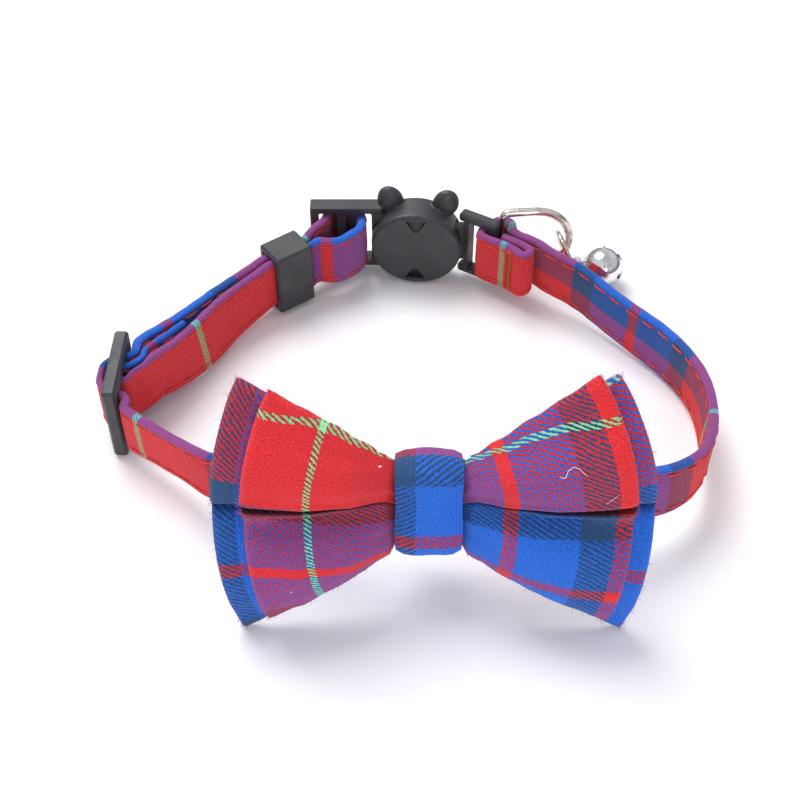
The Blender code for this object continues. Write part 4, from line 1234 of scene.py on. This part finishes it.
    def dress(self) -> None:
        """Builds the band, which stands for the CAD band, and the stitches, bar tack and fibres on it."""
        route = self.route()
        cloth = TartanTwill(
            "tartan_twill_band", 27.0, 0.0, rows=STRAP_ROWS, rows_length=40.0, warp_spacing=0.15, weft_spacing=0.10,
            bead=3.6,
        ).build()
        band = in_row_frame(self.cloth(route)).piece("strap_cloth_band", cloth, smooth=80)
        keep(band, "strap")
        thread = SewingThread("red_spun_polyester_thread", "#CE302C").build()
        sewn = in_row_frame(self.stitches(route)).piece("strap_stitches", thread, smooth=180)
        keep(sewn, None)
        orange = SewingThread("orange_polyester_bar_tack", "#EE9A38").build()
        tack = in_row_frame(self.bar_tack()).piece("strap_bar_tack", orange, smooth=180)
        keep(tack, None)
        ups = self.skin(route)[1]
        half = STRAP_WIDTH / 2
        roots = [(here.place + up * half * way, up * way) for here, up in zip(route, ups) for way in (1, 1, -1)]
        fluff = MeshPlan()
        fluff_along(fluff, roots, 5, self.fibre)
        tint = Fluff("strap_cotton_fibres", "#B04A78").build()
        fuzz = in_row_frame(fluff).piece("strap_fluff", tint)
        keep(fuzz, None)


def clear_selection() -> None:
    """Deselects everything, so that an operator acts on the new primitive alone."""
    if bpy.context.object and bpy.context.object.mode != "OBJECT":
        bpy.ops.object.mode_set(mode="OBJECT")
    bpy.ops.object.select_all(action="DESELECT")


def pick(piece: bpy.types.Object, wanted: Callable[[Vector], bool]) -> None:
    """Selects the points of a mesh in edit mode whose place is wanted."""
    bpy.ops.mesh.select_mode(type="VERT")
    bpy.ops.mesh.select_all(action="DESELECT")
    work = bmesh.from_edit_mesh(piece.data)
    for point in work.verts:
        point.select_set(wanted(point.co))
    work.select_flush(True)
    bmesh.update_edit_mesh(piece.data)


def select_only(piece: bpy.types.Object) -> None:
    """Makes a piece the only selected one and the active one."""
    clear_selection()
    piece.select_set(True)
    bpy.context.view_layer.objects.active = piece


def add_primitive(add: Callable, **settings: object) -> bpy.types.Object:
    """A new primitive of a kind, alone in the selection."""
    clear_selection()
    add(**settings)
    return bpy.context.object


def modify(piece: bpy.types.Object, kind: str, **settings: object) -> None:
    """Adds a modifier with its settings to a piece."""
    modifier = piece.modifiers.new(kind.lower(), kind)
    for name, value in settings.items():
        setattr(modifier, name, value)


def settle(
    piece: bpy.types.Object, name: str, material: bpy.types.Material, place: Matrix, smooth: float = 40
) -> None:
    """Puts a finished piece's place into its mesh, names it and shades it smooth.

    Args:
        piece: The modelled piece, about the origin.
        name: Its name.
        material: Its material.
        place: Where it goes in the row frame.
        smooth: The angle in degrees over which an edge stays sharp.
    """
    piece.data.transform(place @ piece.matrix_world)
    piece.matrix_world = Matrix()
    piece.name = piece.data.name = name
    piece.data.materials.clear()
    piece.data.materials.append(material)
    select_only(piece)
    bpy.ops.object.shade_smooth_by_angle(angle=radians(smooth))
    clear_selection()


def apply_all(piece: bpy.types.Object, tools: Iterable[bpy.types.Object]) -> None:
    """Applies a piece's modifiers in order and removes the pieces that they used."""
    select_only(piece)
    for modifier in list(piece.modifiers):
        bpy.ops.object.modifier_apply(modifier=modifier.name)
    for tool in tools:
        bpy.data.objects.remove(tool, do_unlink=True)


def axes(place: Vector, x: Vector, z: Vector) -> Matrix:
    """The matrix that puts a piece's own X and Z along two square directions at a place."""
    y = z.cross(x)
    return Matrix(((x.x, y.x, z.x, place.x), (x.y, y.y, z.y, place.y), (x.z, y.z, z.z, place.z), (0, 0, 0, 1)))


@dataclass
class RingSet:
    """The D-ring in the band's sewn end, the jump ring on it and the bell."""

    bar: tuple[float, float, float] = (17.9196 * MM, 29.9517 * MM, 8.6 * MM)
    way: float = radians(5)
    d_wire: float = 1.5 * MM
    d_radius: float = 6.6 * MM
    d_arm: float = 5.5 * MM
    d_corner: float = 1.2 * MM
    jump_place: tuple[float, float, float] = (29.5133 * MM, 30.566 * MM, 6.1 * MM)
    jump_long: tuple[float, float, float] = (0.40129, -0.44141, -0.80257)
    jump_flat: tuple[float, float, float] = (-0.01846, 0.87214, -0.48891)
    jump_wire: float = 0.9 * MM
    jump_radius: float = 3.6 * MM
    jump_cut: float = 0.16 * MM
    bell_place: tuple[float, float, float] = (36.2 * MM, 28.5 * MM, 4.05 * MM)
    bell_radius: float = 3.7 * MM
    bell_wall: float = 0.35 * MM
    bell_slot: float = 0.7 * MM
    bell_seam: float = 0.22 * MM
    hoop_wire: float = 0.7 * MM
    hoop_radius: float = 1.6 * MM
    hole_radius: float = 0.62 * MM
    hole_out: float = 0.72

    def d_ring(self, metal: bpy.types.Material) -> None:
        """Bends the D-ring from round wire: spun round its bow, run along its arms and round two tight corners."""
        ring = add_primitive(
            bpy.ops.mesh.primitive_circle_add, vertices=18, radius=self.d_wire / 2, location=(0, 0, self.d_radius),
            rotation=(0, pi / 2, 0),
        )
        bpy.ops.object.transform_apply(location=True, rotation=True, scale=True)
        bpy.ops.object.mode_set(mode="EDIT")
        bpy.ops.mesh.select_all(action="SELECT")
        bpy.ops.mesh.spin(steps=40, angle=-pi, center=(0, 0, 0), axis=(0, 1, 0))
        straight = self.d_arm - self.d_corner
        bpy.ops.mesh.extrude_region_move(TRANSFORM_OT_translate={"value": (-straight, 0, 0)})
        bpy.ops.mesh.spin(
            steps=10, angle=-pi / 2, center=(-straight, 0, -self.d_radius + self.d_corner), axis=(0, 1, 0)
        )
        bar = 2 * (self.d_radius - self.d_corner)
        bpy.ops.mesh.extrude_region_move(TRANSFORM_OT_translate={"value": (0, 0, bar)})
        bpy.ops.mesh.spin(
            steps=10, angle=-pi / 2, center=(-straight, 0, self.d_radius - self.d_corner), axis=(0, 1, 0)
        )
        bpy.ops.mesh.extrude_region_move(TRANSFORM_OT_translate={"value": (straight, 0, 0)})
        bpy.ops.mesh.select_all(action="SELECT")
        bpy.ops.mesh.remove_doubles(threshold=0.01 * MM)
        bpy.ops.mesh.normals_make_consistent(inside=False)
        bpy.ops.object.mode_set(mode="OBJECT")
        heading = Vector((cos(self.way), sin(self.way), 0))
        place = Vector(self.bar) + ROW_SHIFT + heading * self.d_arm
        settle(ring, "d_ring_wire", metal, axes(place, heading, Vector((0, 0, 1))), 70)
        keep(ring, "d_ring")

    def jump_ring(self, metal: bpy.types.Material) -> None:
        """Winds the jump ring from a torus and saws its fine cut."""
        ring = add_primitive(
            bpy.ops.mesh.primitive_torus_add, major_radius=self.jump_radius, minor_radius=self.jump_wire / 2,
            major_segments=64, minor_segments=16,
        )
        saw = add_primitive(bpy.ops.mesh.primitive_cube_add, size=1, location=(self.jump_radius, 0, 0))
        bpy.ops.transform.resize(value=(3 * self.jump_wire, self.jump_cut, 3 * self.jump_wire))
        modify(ring, "BOOLEAN", operation="DIFFERENCE", object=saw)
        modify(ring, "BEVEL", width=0.05 * MM, segments=2, limit_method="ANGLE", angle_limit=radians(60))
        apply_all(ring, [saw])
        long_way, flat = Vector(self.jump_long), Vector(self.jump_flat)
        place = axes(Vector(self.jump_place) + ROW_SHIFT, -long_way, flat.cross(long_way).normalized())
        settle(ring, "jump_ring_wire", metal, place, 50)
        keep(ring, "jump_ring")

    def bell(self, metal: bpy.types.Material) -> None:
        """Presses the bell: two half shells that meet in a rolled seam, a cross of slots and a soldered hoop."""
        radius = self.bell_radius
        shell = add_primitive(bpy.ops.mesh.primitive_uv_sphere_add, segments=64, ring_count=40, radius=radius)
        bpy.ops.object.mode_set(mode="EDIT")
        pick(shell, lambda spot: abs(spot.z) < 0.03 * radius)
        bpy.ops.mesh.bevel(offset=self.bell_seam, segments=3, affect="EDGES")
        seam = 1 + self.bell_seam / radius
        bpy.ops.transform.resize(value=(seam, seam, 1))
        bpy.ops.object.mode_set(mode="OBJECT")
        modify(shell, "SOLIDIFY", thickness=self.bell_wall, offset=-1)
        cutters = []
        for wide, tall in ((self.bell_slot, 1.45 * radius), (1.45 * radius, self.bell_slot)):
            cutters.append(add_primitive(bpy.ops.mesh.primitive_cube_add, size=1, location=(0, 0, radius)))
            bpy.ops.transform.resize(value=(wide, tall, 1.5 * radius))
        for x, y in ((0, 1), (0, -1), (1, 0), (-1, 0)):
            out = self.hole_out * radius
            lean = 0.8 * self.hole_out
            cutters.append(add_primitive(
                bpy.ops.mesh.primitive_cylinder_add, vertices=24, radius=self.hole_radius, depth=3 * MM,
                location=(x * out, y * out, 0.8 * radius), rotation=(-lean * y, lean * x, 0),
            ))
        for cutter in cutters:
            modify(shell, "BOOLEAN", operation="DIFFERENCE", object=cutter)
        apply_all(shell, cutters)
        centre = Vector(self.bell_place) + ROW_SHIFT
        settle(shell, "bell_shell", metal, axes(centre, Vector((0, 0, -1)), Vector((1, 0, 0))), 35)
        keep(shell, "bell")
        hoop = add_primitive(
            bpy.ops.mesh.primitive_torus_add, major_radius=self.hoop_radius, minor_radius=self.hoop_wire / 2,
            major_segments=40, minor_segments=14,
        )
        side, flat = Vector((1, 0, 0)), Vector(self.jump_flat)
        lift = side.cross(flat).normalized()
        at = centre - side * (radius + self.hoop_radius * 0.82)
        settle(hoop, "bell_hoop", metal, axes(at, side, side.cross(lift).normalized()), 50)
        keep(hoop, "bell")

    def dress(self) -> None:
        """Builds the rings and the bell, which stand for their CAD nodes."""
        wire = PlatedSteel("nickel_plated_steel_wire", "#E2DCD2", "#B8AFA2", 0.17).build()
        bright = PlatedSteel("bright_nickel_pressed_steel", "#EDEEF0", "#C4C2BE", 0.10).build()
        self.d_ring(wire)
        self.jump_ring(wire)
        self.bell(bright)


class Block(NamedTuple):
    """A block of the buckle's head in millimetres: its size, and its middle from that of the round plate."""

    size: tuple[float, float, float]
    place: tuple[float, float, float]


FRAME = Block((12.72, 2.8, 13.2), (-12.44, 2.1, 0))
SLOTS = (Block((3.2, 9, 10.6), (-15.8, 2.1, 0)), Block((4.4, 9, 10.6), (-10.2, 2.1, 0)))
SOCKET = Block((11.75, 2.4, 8.0), (6.075, 0, 0))
NOTCH = Block((3.6, 2.4, 2.3), (0, -2.8, 5.32))
EAR = Block((2.3, 1.5, 2.9), (4.8, 1.6, 7.45))  # its half sizes and its middle


@dataclass
class Fittings:
    """The moulded slider, keeper and breakaway buckle: the head is moulded anew, the rest keep their CAD shapes."""

    nodes: tuple[str, ...] = ("slider", "keeper", "buckle_tongue")
    plate: tuple[float, float, float] = (3.0 * MM, 31.2 * MM, 8.0 * MM)
    plate_size: tuple[float, float, float] = (16.0, 5.6, 15.4)  # mm
    plate_turn: float = radians(-6)
    ear_lean: float = 0.35
    notch_taper: float = 0.25
    voxel: float = 0.15 * MM
    rim: float = 0.55 * MM

    def turned(self, place: Sequence[float]) -> Vector:
        """A place in millimetres, turned with the round plate."""
        return Matrix.Rotation(self.plate_turn, 3, "Z") @ Vector(place)

    def block(self, block: Block, turn: float = 0.0) -> bpy.types.Object:
        """A cube stretched and moved to a block's size and place."""
        place = Vector(block.place) * MM
        cube = add_primitive(bpy.ops.mesh.primitive_cube_add, size=1, location=place, rotation=(0, 0, turn))
        cube.scale = Vector(block.size) * MM
        bpy.ops.object.transform_apply(location=False, rotation=False, scale=True)
        return cube

    def ear(self, side: int) -> bpy.types.Object:
        """A rounded ear on the rim that leans out to a side."""
        x, y, z = EAR.place
        ball = add_primitive(
            bpy.ops.mesh.primitive_uv_sphere_add, segments=40, ring_count=24, radius=MM,
            location=self.turned((side * x, y, z)) * MM,
        )
        ball.scale = EAR.size
        ball.rotation_euler = (0, side * self.ear_lean, self.plate_turn)
        return ball

    def notch(self, side: int) -> bpy.types.Object:
        """A cutter for a notch in the plate's face: a block that narrows towards the plate's middle."""
        x, y, z = NOTCH.place
        place = self.turned((x, y, side * z))
        cutter = self.block(Block(NOTCH.size, tuple(place)), self.plate_turn)
        bpy.ops.object.mode_set(mode="EDIT")
        pick(cutter, lambda spot: spot.z * side < 0)
        taper = (self.notch_taper, self.notch_taper, 1)
        bpy.ops.transform.resize(value=taper, center_override=place * MM)
        bpy.ops.object.mode_set(mode="OBJECT")
        return cutter

    def head(self, plastic: bpy.types.Material) -> None:
        """Moulds the buckle's head in one piece, with a small radius where its parts run into each other."""
        body = add_primitive(
            bpy.ops.mesh.primitive_cylinder_add, vertices=128, radius=0.5, depth=1, rotation=(pi / 2, 0, 0)
        )
        bpy.ops.object.transform_apply(location=False, rotation=True, scale=False)
        body.scale = Vector(self.plate_size) * MM
        body.rotation_euler = (0, 0, self.plate_turn)
        bpy.ops.object.transform_apply(location=False, rotation=True, scale=True)
        modify(body, "BEVEL", width=self.rim, segments=3, limit_method="ANGLE", angle_limit=radians(40))
        joined = [self.ear(-1), self.ear(1), self.block(FRAME)]
        cut = [self.block(hole) for hole in (*SLOTS, SOCKET)]
        notches = [self.notch(-1), self.notch(1)]
        for other in joined:
            modify(body, "BOOLEAN", operation="UNION", object=other)
        for other in cut:
            modify(body, "BOOLEAN", operation="DIFFERENCE", object=other)
        # The notches stay sharp, so they are cut after the casting is smoothed
        modify(body, "REMESH", mode="VOXEL", voxel_size=self.voxel)
        modify(body, "SMOOTH", factor=0.5, iterations=14)
        for other in notches:
            modify(body, "BOOLEAN", operation="DIFFERENCE", object=other)
        apply_all(body, joined + cut + notches)
        settle(body, "buckle_head_moulding", plastic, Matrix.Translation(Vector(self.plate) + ROW_SHIFT), 38)
        keep(body, "buckle_head")

    def dress(self, frame: dict) -> None:
        """Builds the buckle's head and gives the other plastic nodes their material."""
        plastic = MouldedPlastic().build()
        self.head(plastic)
        for name in self.nodes:
            node = frame["nodes"][name]
            node.data.materials.clear()
            node.data.materials.append(plastic)
            log.info("%s: moulded plastic", name)


@dataclass
class Studio:
    """A white table, soft light from above and behind, and the camera."""

    floor_size: float = 3.0
    camera_place: tuple[float, float, float] = (0.0, -0.152007, 0.165887)
    pitch: float = radians(42.5)
    lens: float = 60.75
    sky: float = 0.68
    horizon: tuple[float, ...] = (0.10, 0.10, 0.11, 1)
    zenith: tuple[float, ...] = (0.97, 0.98, 1.04, 1)

    def floor(self) -> None:
        """Lays the table's paper: matt white, so that it shows soft shadows and no reflection."""
        floor = add_primitive(bpy.ops.mesh.primitive_plane_add, size=self.floor_size)
        floor.name = "studio_floor"
        material, tree, shader = new_material("matt_white_paper")
        feed(tree, shader, {"Base Color": (0.93, 0.93, 0.94, 1), "Roughness": 0.95, "Specular IOR Level": 0.1})
        floor.data.materials.append(material)

    def build(self) -> None:
        """Builds the floor, the surroundings, the lights and the camera."""
        scene = bpy.context.scene
        scene.view_settings.view_transform = "Standard"
        self.floor()
        scene.world = scene.world or bpy.data.worlds.new("studio")
        scene.world.use_nodes = True
        tree = scene.world.node_tree
        tree.nodes.clear()
        sky = add_node(tree, "TexCoord").outputs["Generated"]
        height = add_range(tree, add_node(tree, "SeparateXYZ", {0: sky}).outputs[2], 0.02, 0.42, 0.0, 1.0)
        glow = add_tone(tree, height, self.horizon, self.zenith)
        light = add_node(tree, "Background", {"Color": glow, "Strength": self.sky})
        add_node(tree, "OutputWorld", {"Surface": light.outputs[0]})
        self.lamp("key", (-0.22, 0.32, 0.66), 0.46, 4.9)
        self.lamp("fill", (0.05, -0.80, 0.27), 0.5, 2.5)
        lens = bpy.data.cameras.new("camera")
        lens.lens, lens.sensor_width, lens.clip_start = self.lens, 36, 0.01
        camera = bpy.data.objects.new("camera", lens)
        camera.location = Vector(self.camera_place) + ROW_SHIFT
        camera.rotation_euler = (self.pitch, 0, 0)
        scene.collection.objects.link(camera)
        scene.camera = camera

    def lamp(self, name: str, place: tuple[float, float, float], size: float, power: float) -> None:
        """A soft box that looks at the collar.

        Args:
            name: Its name.
            place: Where it hangs.
            size: Its side in metres.
            power: Its power in watts.
        """
        light = bpy.data.lights.new(name, "AREA")
        light.size, light.energy = size, power
        made = bpy.data.objects.new(name, light)
        made.location = place
        made.rotation_euler = (-Vector(place)).to_track_quat("-Z", "Y").to_euler()
        bpy.context.scene.collection.objects.link(made)


def main() -> None:
    """Loads the frame and dresses the collar."""
    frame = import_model()
    bow = Bow()
    Strap(bow).dress()
    bow.dress()
    Fittings().dress(frame)
    RingSet().dress()
    Studio().build()


if __name__ == "__main__":
    main()
